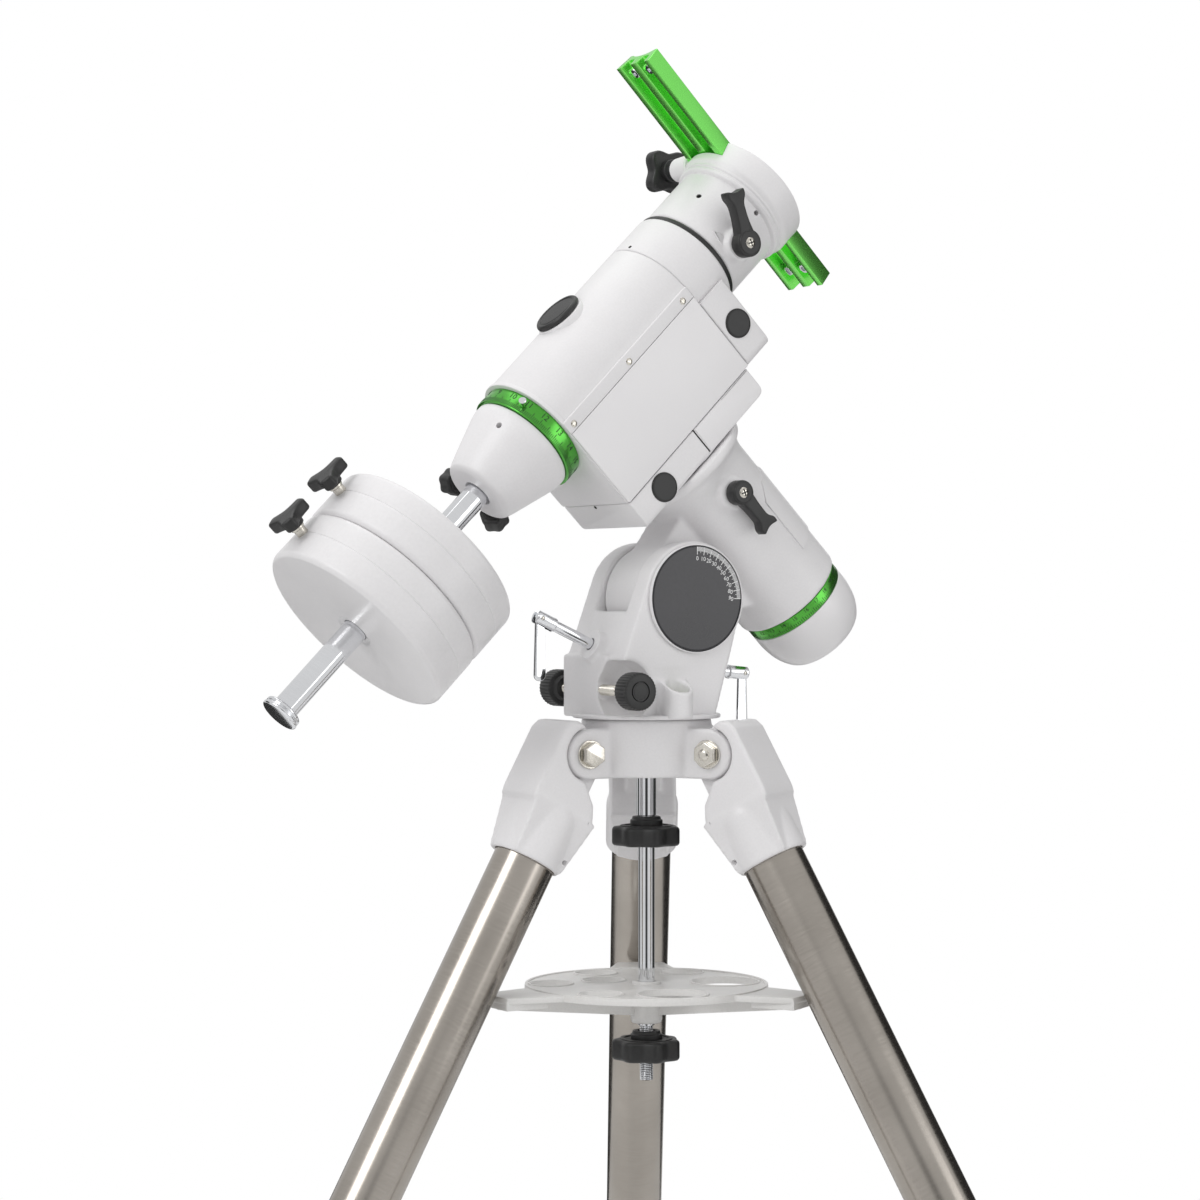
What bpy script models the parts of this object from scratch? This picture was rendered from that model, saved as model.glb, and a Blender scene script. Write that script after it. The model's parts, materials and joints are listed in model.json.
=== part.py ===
"""An equatorial telescope mount on a folding tripod, as separate solids.

World frame: +Z up, origin on the floor below the middle of the three feet. +X is south (the end with
the polar scope), -X is north (the end with the counterweights), -Y is west (the side with the dial).
Sizes below are in millimetres; the helpers turn them to metres. Every moving piece is modelled in the
frame of an empty that stands on its joint's axis.
"""
import math

import bmesh
import bpy
from mathutils import Matrix, Vector

MM = 0.001
GAP = 0.3                   # clearance between neighbouring pieces
HOLE_GAP = 0.5              # extra radius of a hole round its own shaft

# --- tripod ---------------------------------------------------------------------------------------
HUB_TOP = 850.0             # height of the hub's top face above the floor
HUB_R, HUB_H = 47.0, 41.0
EAR_IN, EAR_OUT, EAR_R = 13.0, 21.0, 18.0
PIVOT_R, PIVOT_DROP = 60.0, 24.0
LEGS = {"north": 180.0, "southwest": -60.0, "southeast": 60.0}
SPLAY = 29.0                # angle between a leg and the vertical
BOLT_R = 5.0
TUBE_R, TUBE_BORE, TUBE_TOP, TUBE_END = 22.25, 20.6, -42.5, -800.0
SOCKET_R, SOCKET_END = 27.0, -86.0
CLAMP_TOP, CLAMP_END, CLAMP_R = -764.0, -842.0, 29.0
CLAMP_SCREW_Z = -821.0
INNER_R, INNER_BORE, INNER_TOP, INNER_END = 19.0, 17.5, -330.0, -905.0
FOOT_R, FOOT_END = 22.0, -960.0
ROD_R, ROD_THREAD_R = 6.0, 5.0
ROD_TOP_R, ROD_TOP, ROD_END = 7.0, 14.0, -261.0
KNOB_R = 25.0
ROD_KNOB_Z, TRAY_KNOB_Z = -70.0, -224.5
TRAY_Z, TRAY_T, TRAY_R, TRAY_REACH = -192.0, 4.5, 88.0, 126.5
# eyepiece holes: distance from the rod, azimuth and radius (two wide ones and five narrow ones)
TRAY_HOLES = [(60, 256, 24), (58, 339, 24), (66, 209, 15), (71, 36, 15)]
TRAY_HOLES += [(69, 149, 15), (69, 91, 15), (36, 118, 15)]
FOOT_RADIUS = PIVOT_R + (HUB_TOP - PIVOT_DROP) * math.tan(math.radians(SPLAY))
TRIPOD_X = FOOT_RADIUS / 4  # one leg north, two south: this centres the three feet on the origin

# --- mount base -----------------------------------------------------------------------------------
BASE_R, BASE_T = 53.5, 3.0
ARM_IN, ARM_OUT, ARM_TOP_R = 21.5, 40.0, 41.0
TILT_X, TILT_Z = 16.0, 86.0          # latitude pivot, from the hub's top centre
CRADLE_R, DRUM_R = 40.5, 39.0
AXLE_R = 8.0
DIAL_R, DIAL_T = 39.0, 2.5
AZ_X, AZ_Z = -42.0, 21.0             # azimuth screws
AZ_KNOB_R, AZ_KNOB_Y, AZ_KNOB_L = 13.5, 45.0, 15.0
AZ_RECESS_R = 21.5                   # round recess in the west cheek, round its azimuth screw
LEVEL_X, LEVEL_Y, LEVEL_R = -4.0, -48.0, 11.0
LEVEL_IN, LEVEL_OUT = 29.0, 19.0     # the slanted mouth's height, next to the cheek and outside
ALT_R, ALT_BOSS_R = 4.0, 11.5
NORTH_BOLT = (-47.0, 53.5, 24.0, 50.0)   # boss face X, Z, upward angle, length outside
SOUTH_BOLT = (53.0, 34.0, -5.0, 34.0)
LATITUDE = 45.0

# --- polar (right ascension) axis: local z up the polar axis, local x towards the saddle -----------
AXES_ALONG, AXES_ABOVE = 167.0, 79.0     # the axes' crossing, seen from the latitude pivot
RA_R, RA_TOP, RA_END = 42.0, -103.0, -240.0
RA_FLANGE_R, RA_FLANGE_T = 50.0, 7.0
RA_BORE, SPIGOT_R, SPIGOT_END = 30.2, 33.5, -256.0
RA_CIRCLE_R, RA_CIRCLE_END = 40.0, -249.3
POLAR_CAP_END = -291.0
SCOPE_R, SCOPE_BORE = 13.5, 14.3
RA_LEVER = (-4.0, -135.0)                 # along the declination and the polar axis
RA_BOSS_Y, LEVER_T = -45.5, 9.0

# --- declination axis: local z towards the saddle, local x down the polar axis ---------------------
DEC_DROP = 5.5                           # the axis passes this far below the polar frame's origin
DEC_R, DEC_LOW, DEC_HIGH = 43.0, -73.0, 105.0
DEC_BORE, DEC_NECK_BORE = 33.0, 28.3
BOX_X, BOX_WEST, BOX_EAST = (-0.5, 73.5), -42.0, 48.0
BOX_Z = (-73.0, 70.0)
SHOULDER_X, SHOULDER_TOP = (14.5, 74.5), 97.0
COVER_START, COVER_T = 7.0, 3.0
NECK_R, NECK_END = 46.0, 96.5
MOTOR_X, MOTOR_Z = (44.0, 69.0), {"ra_motor": -40.0, "dec_motor": 32.0}
WINDOW_R, WINDOW_X = 19.0, -44.0
DEC_CIRCLE_R, DEC_CIRCLE_END = 41.0, -86.4
CONE_R, CONE_END_R, CONE_END = 39.0, 26.0, -137.0
LOCK_Z, LOCK_ANGLES = -129.0, (98.0, 38.0)
SADDLE_LOW, SADDLE_TOP, PUCK_R, SADDLE_R = 109.0, 186.0, 46.5, 41.0
DEC_LEVER = (7.0, 126.0)
DEC_BOSS_Y = -46.0
BAR_LENGTH, BAR_SHIFT = 215.0, 22.5
BAR_LOW, BAR_TOP, BAR_HALF, BAR_TOP_HALF = 173.0, 187.0, 22.0, 18.0
BAR_GROOVE, BAR_RIB, BAR_CHANNEL = 5.0, 4.0, 11.0
SADDLE_KNOB_X, SADDLE_KNOB_Z, SADDLE_KNOB_Y = -35.0, 178.0, 58.0
SHAFT_R, SHAFT_TOP, SHAFT_END = 9.0, -60.0, -345.0
WEIGHT_R, WEIGHT_T, WEIGHT_TOP = 74.0, 40.0, -192.0
WEIGHT_KNOB_ANGLE = 180.0

FINISHES = {
    "white_paint": ((0.86, 0.86, 0.85), 0.45, 0.0),
    "steel": ((0.62, 0.60, 0.57), 0.32, 1.0),
    "chrome": ((0.82, 0.82, 0.83), 0.10, 1.0),
    "black_plastic": ((0.02, 0.02, 0.022), 0.45, 0.0),
    "green": ((0.10, 0.50, 0.08), 0.28, 1.0),
    "glass": ((0.55, 0.75, 0.30), 0.05, 0.0),
}

for old in list(bpy.data.objects):
    bpy.data.objects.remove(old, do_unlink=True)

PARTS = bpy.data.collections.new("equatorial_mount_on_tripod")
TOOLS = bpy.data.collections.new("cutters")
bpy.context.scene.collection.children.link(PARTS)
bpy.context.scene.collection.children.link(TOOLS)


# --- helpers ----------------------------------------------------------------------------------------
def frame(name, parent, place=(0.0, 0.0, 0.0), turn=(0.0, 0.0, 0.0)):
    """An empty that stands on an axis; turn is in degrees."""
    empty = bpy.data.objects.new(name, None)
    empty.empty_display_size = 0.03
    empty.parent = parent
    empty.location = Vector(place) * MM
    empty.rotation_euler = [math.radians(a) for a in turn]
    PARTS.objects.link(empty)
    return empty


def to_object(bm, name="shape"):
    """A finished object, in metres, from a bmesh in millimetres."""
    bmesh.ops.transform(bm, matrix=Matrix.Scale(MM, 4), verts=bm.verts)
    bmesh.ops.recalc_face_normals(bm, faces=bm.faces)
    mesh = bpy.data.meshes.new(name)
    bm.to_mesh(mesh)
    bm.free()
    obj = bpy.data.objects.new(name, mesh)
    TOOLS.objects.link(obj)
    return obj


def block(x, y, z):
    """A box between two limits on each axis."""
    bm = bmesh.new()
    size = Matrix.Diagonal((x[1] - x[0], y[1] - y[0], z[1] - z[0], 1.0))
    middle = Vector(((x[0] + x[1]) / 2, (y[0] + y[1]) / 2, (z[0] + z[1]) / 2))
    bmesh.ops.create_cube(bm, size=1.0, matrix=Matrix.Translation(middle) @ size)
    return to_object(bm)


def rod(start, end, radius, end_radius=None, sides=18, widths=(1.0, 1.0, 1.0)):
    """A cylinder or cone from start to end; widths squashes it about the frame's origin."""
    start = Vector(start)
    end = Vector(end)
    along = (end - start).to_track_quat("Z", "Y").to_matrix().to_4x4()
    place = Matrix.Translation((start + end) / 2) @ along
    bm = bmesh.new()
    last = radius if end_radius is None else end_radius
    bmesh.ops.create_cone(bm, cap_ends=True, segments=sides, radius1=radius, radius2=last,
                          depth=(end - start).length, matrix=place)
    bmesh.ops.transform(bm, matrix=Matrix.Diagonal((*widths, 1.0)), verts=bm.verts)
    return to_object(bm)


def turned(profile, sides=24):
    """A lathe-turned solid: (radius, z) points run from the top down the outer side."""
    mesh = bpy.data.meshes.new("turned")
    points = [(r * MM, 0.0, z * MM) for r, z in profile]
    mesh.from_pydata(points, [(i, i + 1) for i in range(len(points) - 1)], [])
    obj = bpy.data.objects.new("turned", mesh)
    TOOLS.objects.link(obj)
    screw = obj.modifiers.new("turn", "SCREW")
    screw.axis = "Z"
    screw.steps = sides
    screw.render_steps = sides
    screw.use_merge_vertices = True
    screw.merge_threshold = 0.0001
    return obj


def arc(cx, cy, radius, start, end, steps):
    """Points of an arc; the angles are in degrees."""
    angles = [math.radians(start + (end - start) * i / steps) for i in range(steps + 1)]
    return [(cx + radius * math.cos(a), cy + radius * math.sin(a)) for a in angles]


def lobed(radius, dip, lobes, steps=5):
    """A star knob's outline: rounded lobes with dips between them."""
    count = lobes * steps
    angles = [2 * math.pi * i / count for i in range(count)]
    waves = [(1 - math.cos(lobes * a)) / 2 for a in angles]
    reach = [radius - dip * w for w in waves]
    return [(r * math.cos(a), r * math.sin(a)) for a, r in zip(angles, reach)]


def slab(outlines, thickness, place):
    """A flat outline, with any holes in it, thickened both ways and then placed."""
    curve = bpy.data.curves.new("slab", "CURVE")
    curve.dimensions = "2D"
    curve.fill_mode = "BOTH"
    curve.extrude = thickness / 2 * MM
    for outline in outlines:
        spline = curve.splines.new("POLY")
        spline.points.add(len(outline) - 1)
        for point, (x, y) in zip(spline.points, outline):
            point.co = (x * MM, y * MM, 0.0, 1.0)
        spline.use_cyclic_u = True
    drawn = bpy.data.objects.new("outline", curve)
    TOOLS.objects.link(drawn)
    bpy.context.view_layer.update()
    mesh = bpy.data.meshes.new_from_object(drawn.evaluated_get(bpy.context.evaluated_depsgraph_get()))
    bpy.data.objects.remove(drawn)
    bm = bmesh.new()
    bm.from_mesh(mesh)
    bmesh.ops.remove_doubles(bm, verts=bm.verts, dist=0.00001)
    bmesh.ops.transform(bm, matrix=Matrix.Scale(1 / MM, 4), verts=bm.verts)
    bmesh.ops.transform(bm, matrix=place, verts=bm.verts)
    return to_object(bm)


def shift(x=0.0, y=0.0, z=0.0):
    return Matrix.Translation((x, y, z))


def turn_about(axis, degrees):
    return Matrix.Rotation(math.radians(degrees), 4, axis)


def upright(y):
    """Stands an (x, z) outline up in the plane at this y."""
    return shift(y=y) @ turn_about("X", 90.0)


def along_x():
    """Turns an (x, z) outline to stand in the y, z plane, thickened along x."""
    return turn_about("Z", 90.0) @ upright(0)


def part(name, parent, body, finish, joins=(), cuts=()):
    """Makes a body into a named part: joined with some solids and cut by others."""
    colour, roughness, metallic = FINISHES[finish]
    TOOLS.objects.unlink(body)
    PARTS.objects.link(body)
    body.name = name
    body.data.name = name
    body.parent = parent
    for operation, tools in (("UNION", joins), ("DIFFERENCE", cuts)):
        for tool in tools:
            if tool.parent is None and not tool.get("in_world"):
                tool.parent = parent
            tool.hide_render = True
            tool.display_type = "WIRE"
            cut = body.modifiers.new(operation.lower(), "BOOLEAN")
            cut.operation = operation
            cut.solver = "EXACT"
            cut.object = tool
    material = bpy.data.materials.new(name)
    material.use_nodes = True
    shader = material.node_tree.nodes["Principled BSDF"]
    shader.inputs["Base Color"].default_value = (*colour, 1.0)
    shader.inputs["Roughness"].default_value = roughness
    shader.inputs["Metallic"].default_value = metallic
    body.data.materials.clear()
    body.data.materials.append(material)
    body.data.shade_smooth()
    body.data.set_sharp_from_angle(angle=math.radians(35))
    return body


def pin_through(y, radius, x=0.0, z=0.0, sides=12):
    """A cylinder along y between two limits."""
    return rod((x, y[0], z), (x, y[1], z), radius, sides=sides)


def bored_knob(name, parent, wheel_z, collar_z, collar_r, bore):
    """A star knob with a collar, on the z axis and bored right through."""
    wheel = slab([lobed(KNOB_R, 4, 7, 4)], wheel_z[1] - wheel_z[0], shift(z=sum(wheel_z) / 2))
    collar = rod((0, 0, collar_z[0]), (0, 0, collar_z[1]), collar_r, sides=12)
    low = min(wheel_z[0], collar_z[0]) - 1
    high = max(wheel_z[1], collar_z[1]) + 1
    part(name, parent, wheel, "black_plastic", [collar], [rod((0, 0, low), (0, 0, high), bore, sides=12)])


def lever_outline(hub, length, neck, tip):
    """A clutch lever's outline: a round hub, an arm along +x and a flared, notched end."""
    points = arc(0, 0, hub - 0.8, 40, 320, 8)
    points += [(length * 0.45, -neck), (length - 5, -tip), (length, -tip * 0.9)]
    points += [(length - 2.5, 0)]
    points += [(length, tip * 0.9), (length - 5, tip), (length * 0.45, neck)]
    return points


# --- tripod -----------------------------------------------------------------------------------------
def make_hub(tripod):
    body = rod((0, 0, -HUB_H), (0, 0, 0), HUB_R, sides=30)
    ear = [(20, -PIVOT_DROP + EAR_R)]
    ear += arc(PIVOT_R, -PIVOT_DROP, EAR_R, 90, -80, 9)
    ear += [(20, -HUB_H + 0.6)]
    joins = []
    cuts = [rod((0, 0, -HUB_H - 1), (0, 0, -12), 33, sides=18)]
    cuts += [rod((0, 0, -20), (0, 0, 1), ROD_TOP_R + HOLE_GAP, sides=12)]
    for azimuth in LEGS.values():
        spin = turn_about("Z", azimuth)
        joins.append(slab([ear], 2 * EAR_OUT, spin @ upright(0)))
        slot = arc(PIVOT_R, -PIVOT_DROP, 19.5, 0, 180, 10)
        slot += [(PIVOT_R - 19.5, -HUB_H - 4), (PIVOT_R + 19.5, -HUB_H - 4)]
        cuts.append(slab([slot], 2 * EAR_IN, spin @ upright(0)))
        hole = pin_through((-30, 30), BOLT_R + HOLE_GAP, PIVOT_R, -PIVOT_DROP)
        hole.data.transform(spin)
        cuts.append(hole)
    return part("tripod_hub", tripod, body, "white_paint", joins, cuts)


def make_leg(name, tripod, azimuth, floor):
    spot = turn_about("Z", azimuth) @ Vector((PIVOT_R, 0, -PIVOT_DROP))
    pivot = frame(f"leg_{name}_pivot", tripod, spot, (0, -SPLAY, azimuth))

    head = [rod((0, s * (EAR_OUT + GAP), 0), (0, s * (EAR_OUT + 2.3), 0), 10.5, sides=12) for s in (-1, 1)]
    head += [rod((0, s * (EAR_OUT + 2), 0), (0, s * (EAR_OUT + 8.5), 0), 9.2, sides=6) for s in (-1, 1)]
    part(f"leg_bolt_{name}", pivot, pin_through((-27, 27), BOLT_R), "chrome", head)

    tongue = [(-17.5, -40), (-17.5, 0)]
    tongue += arc(0, 0, 17.5, 170, 90, 6)
    tongue += [(20, 16.5), (26.5, 13.5), (29, 7.7), (28, -40)]
    body = slab([tongue], 2 * (EAR_IN - GAP), upright(0))
    narrow = (25 / SOCKET_R, 1.0, 1.0)
    joins = [rod((0, 0, -46), (0, 0, -25), SOCKET_R, 19, sides=24, widths=narrow)]
    joins += [rod((0, 0, SOCKET_END), (0, 0, -46), SOCKET_R, sides=24, widths=narrow)]
    cuts = [rod((0, 0, SOCKET_END - 1), (0, 0, TUBE_TOP + 0.5), TUBE_R + HOLE_GAP, sides=24)]
    cuts += [pin_through((-30, 30), BOLT_R + HOLE_GAP)]
    part(f"leg_bracket_{name}", pivot, body, "white_paint", joins, cuts)

    tube = rod((0, 0, TUBE_END), (0, 0, TUBE_TOP), TUBE_R, sides=24)
    bore = rod((0, 0, TUBE_END - 1), (0, 0, TUBE_TOP + 1), TUBE_BORE, sides=24)
    part(f"leg_tube_{name}", pivot, tube, "steel", (), [bore])

    profile = [(0, CLAMP_TOP), (25.5, CLAMP_TOP), (CLAMP_R, CLAMP_TOP - 9)]
    profile += [(CLAMP_R, CLAMP_END + 5), (CLAMP_R - 3, CLAMP_END), (0, CLAMP_END)]
    boss = rod((20, 0, CLAMP_SCREW_Z), (39, 0, CLAMP_SCREW_Z), 12, 10.5, sides=12)
    cuts = [rod((0, 0, TUBE_END - 1), (0, 0, CLAMP_TOP + 1), TUBE_R + HOLE_GAP, sides=24)]
    cuts += [rod((0, 0, CLAMP_END - 1), (0, 0, TUBE_END + 2), INNER_R + HOLE_GAP, sides=24)]
    cuts += [rod((15, 0, CLAMP_SCREW_Z), (45, 0, CLAMP_SCREW_Z), 4 + HOLE_GAP, sides=10)]
    part(f"leg_clamp_{name}", pivot, turned(profile), "white_paint", [boss], cuts)

    screw = frame(f"clamp_screw_{name}_axis", pivot, (0, 0, CLAMP_SCREW_Z), (0, 90, 0))
    wheel = slab([lobed(16, 2.6, 5, 4)], 13, shift(z=50.5))
    joins = [rod((0, 0, 39.5), (0, 0, 50), 8, sides=12)]
    joins += [rod((0, 0, INNER_R + HOLE_GAP), (0, 0, 50), 4, sides=10)]
    part(f"clamp_screw_{name}", screw, wheel, "black_plastic", joins)

    profile = [(0, INNER_TOP), (INNER_R, INNER_TOP), (INNER_R, INNER_END), (FOOT_R, INNER_END - 1)]
    profile += [(FOOT_R, INNER_END - 14), (17, FOOT_END), (0, FOOT_END)]
    bore = rod((0, 0, INNER_END + 8), (0, 0, INNER_TOP + 1), INNER_BORE, sides=24)
    part(f"leg_extension_{name}", pivot, turned(profile), "steel", (), [bore, floor])


def make_rod_and_tray(tripod):
    profile = [(0, ROD_TOP), (ROD_THREAD_R, ROD_TOP), (ROD_THREAD_R, -3), (ROD_TOP_R, -3)]
    profile += [(ROD_TOP_R, ROD_KNOB_Z)]
    profile += [(ROD_R, ROD_KNOB_Z - 0.5), (ROD_R, TRAY_KNOB_Z + 3), (ROD_THREAD_R, TRAY_KNOB_Z + 3)]
    profile += [(ROD_THREAD_R, ROD_END), (0, ROD_END)]
    part("fixing_rod", tripod, turned(profile, sides=12), "chrome")

    top = ROD_KNOB_Z
    bored_knob("rod_knob", tripod, (top - 22, top - 8), (top - 9, top - 1), 11.75, ROD_R + HOLE_GAP)
    top = TRAY_KNOB_Z
    bored_knob("tray_knob", tripod, (top - 22, top - 7), (top - 8, top), 11.5, ROD_R + HOLE_GAP)

    outline = []
    for azimuth in sorted(LEGS.values()):
        wide = 17.0
        tip = 8.0
        outline += arc(0, 0, TRAY_R, azimuth - 102, azimuth - wide, 11)
        outline += arc(0, 0, TRAY_REACH, azimuth - tip, azimuth + tip, 3)
        outline += arc(0, 0, TRAY_R, azimuth + wide, azimuth + 18, 1)[:1]
    holes = []
    for distance, azimuth, radius in TRAY_HOLES:
        a = math.radians(azimuth)
        holes.append(arc(distance * math.cos(a), distance * math.sin(a), radius, 0, 337.5, 15))
    body = slab([outline] + holes, TRAY_T, shift(z=TRAY_Z - TRAY_T / 2))
    joins = [rod((0, 0, TRAY_Z - 28), (0, 0, TRAY_Z + 1), 11.5, sides=12)]
    for azimuth in LEGS.values():
        rib = [(8, TRAY_Z - 1), (TRAY_REACH - 3, TRAY_Z - 1)]
        rib += [(TRAY_REACH - 4, TRAY_Z - 11), (10, TRAY_Z - 19)]
        joins.append(slab([rib], 4, turn_about("Z", azimuth) @ upright(0)))
    bore = rod((0, 0, TRAY_Z - 30), (0, 0, TRAY_Z + 3), ROD_R + HOLE_GAP, sides=12)
    part("accessory_tray", tripod, body, "white_paint", joins, [bore])


# --- mount base -------------------------------------------------------------------------------------
def alt_frame(name, mount, bolt):
    """The frame of an altitude bolt: origin at its boss's face, local z outwards along the bolt."""
    x, z, rise, _ = bolt
    lean = math.copysign(90 - rise, x)
    return frame(name, mount, (x, 0, z), (0, lean, 0))


def alt_line(bolt, inner, outer):
    """Two points on an altitude bolt's axis, by their distances outside the boss's face."""
    x, z, rise, _ = bolt
    way = Vector((math.copysign(math.cos(math.radians(rise)), x), 0, math.sin(math.radians(rise))))
    return Vector((x, 0, z)) + way * inner, Vector((x, 0, z)) + way * outer


def make_base(mount):
    arm = arc(TILT_X, TILT_Z, ARM_TOP_R, 163, -4, 16)
    arm += [(48, 50), (34, BASE_T), (-44, BASE_T), (-43.5, 43)]
    body = slab([arm], ARM_OUT - ARM_IN, upright(-(ARM_IN + ARM_OUT) / 2))
    joins = [slab([arm], ARM_OUT - ARM_IN, upright((ARM_IN + ARM_OUT) / 2))]
    core = [(-43, BASE_T - 0.5), (-42.8, 43), (-30.5, 77), (-24, 77)]
    core += arc(TILT_X, TILT_Z, CRADLE_R, 195, 305, 12)
    core += [(46, 51), (33, BASE_T - 0.5)]
    joins += [slab([core], 2 * ARM_IN + 4, upright(0))]
    joins += [rod((0, 0, GAP), (0, 0, BASE_T + 1), BASE_R, sides=30)]
    joins += [block((-47, -20), (-ARM_IN, ARM_OUT - 0.5), (1, 47))]
    joins += [rod((LEVEL_X, LEVEL_Y, 1), (LEVEL_X, LEVEL_Y, LEVEL_IN), LEVEL_R, sides=18)]
    for bolt in (NORTH_BOLT, SOUTH_BOLT):
        joins.append(rod(*alt_line(bolt, -19, 0), ALT_BOSS_R, sides=12))
    cuts = [rod((0, 0, -1), (0, 0, ROD_TOP + 2), ROD_THREAD_R + HOLE_GAP, sides=12)]
    cuts += [pin_through((-60, 60), AXLE_R + HOLE_GAP, TILT_X, TILT_Z)]
    recess = arc(AZ_X, AZ_Z, AZ_RECESS_R, -56, 236, 20)
    cuts += [slab([recess], 30, upright(1 - ARM_IN - 15))]
    cuts += [rod((AZ_X, -11, AZ_Z), (AZ_X, 0.5 - ARM_IN, AZ_Z), 8, 17, sides=24)]
    for side in (-1, 1):
        cuts.append(pin_through(sorted((side * 2, side * 50)), 4 + HOLE_GAP, AZ_X, AZ_Z, sides=10))
    cuts += [rod((LEVEL_X, LEVEL_Y, 10), (LEVEL_X, LEVEL_Y, LEVEL_IN + 1), 8 + GAP, sides=12)]
    mouth = [(LEVEL_Y + LEVEL_R - 1, LEVEL_IN), (LEVEL_Y - LEVEL_R - 1, LEVEL_OUT)]
    mouth += [(LEVEL_Y - LEVEL_R - 1, LEVEL_IN + 2), (LEVEL_Y + LEVEL_R - 1, LEVEL_IN + 2)]
    cuts += [slab([mouth], 3 * LEVEL_R, shift(x=LEVEL_X) @ along_x())]
    for bolt in (NORTH_BOLT, SOUTH_BOLT):
        cuts.append(rod(*alt_line(bolt, -13, 1), ALT_R + HOLE_GAP, sides=10))
    part("mount_base", mount, body, "white_paint", joins, cuts)

    dial = pin_through((-ARM_OUT - GAP - DIAL_T, -ARM_OUT - GAP), DIAL_R, TILT_X, TILT_Z, sides=30)
    part("latitude_dial", mount, dial, "black_plastic")
    vial = rod((LEVEL_X, LEVEL_Y, 10 + GAP), (LEVEL_X, LEVEL_Y, 16), 8, sides=12)
    part("bubble_level", mount, vial, "glass")
    axle = pin_through((-ARM_OUT + GAP, ARM_OUT + 2), AXLE_R, TILT_X, TILT_Z)
    nut = rod((TILT_X, ARM_OUT + GAP, TILT_Z), (TILT_X, ARM_OUT + 9, TILT_Z), 14, sides=6)
    part("latitude_axle", mount, axle, "chrome", [nut])

    for name, side in (("west", -1), ("east", 1)):
        axis = frame(f"azimuth_knob_{name}_axis", mount, (AZ_X, 0, AZ_Z), (-90 * side, 0, 0))
        wheel = slab([lobed(AZ_KNOB_R, 1.2, 8, 4)], AZ_KNOB_L, shift(z=AZ_KNOB_Y + AZ_KNOB_L / 2))
        stud = rod((0, 0, 3), (0, 0, AZ_KNOB_Y + 2), 4, sides=10)
        part(f"azimuth_knob_{name}", axis, wheel, "black_plastic", [stud])

    for name, bolt in (("north", NORTH_BOLT), ("south", SOUTH_BOLT)):
        axis = alt_frame(f"altitude_bolt_{name}_axis", mount, bolt)
        length = bolt[3]
        body = rod((0, 0, -12), (0, 0, length - 1), ALT_R, sides=10)
        collar = rod((0, 0, length - 15), (0, 0, length), 5.2, sides=12)
        cuts = [block((-8, 8), (-2.6, 2.6), (length - 12, length + 1))]
        cuts += [pin_through((-8, 8), 1.2 + HOLE_GAP, 0, length - 4, sides=10)]
        part(f"altitude_bolt_{name}", axis, body, "chrome", [collar], cuts)
        # the lever hangs straight down from its cross pin in the bolt's slotted end
        swing = frame(f"altitude_lever_{name}_axis", axis, (0, 0, length - 4),
                      (0, -math.copysign(90 - bolt[2], bolt[0]), 0))
        blade = slab([lever_drop()], 4.4, upright(0))
        pin = pin_through((-4.6, 4.6), 1.2, sides=10)
        part(f"altitude_lever_{name}", swing, blade, "chrome", [pin])


def lever_drop():
    """A flat lever that hangs from its pin, as an (x, z) outline."""
    return arc(0, 0, 2.3, 0, 180, 6) + [(-2.3, -7)] + arc(0, -40, 4.5, 180, 360, 8) + [(2.3, -7)]


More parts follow.
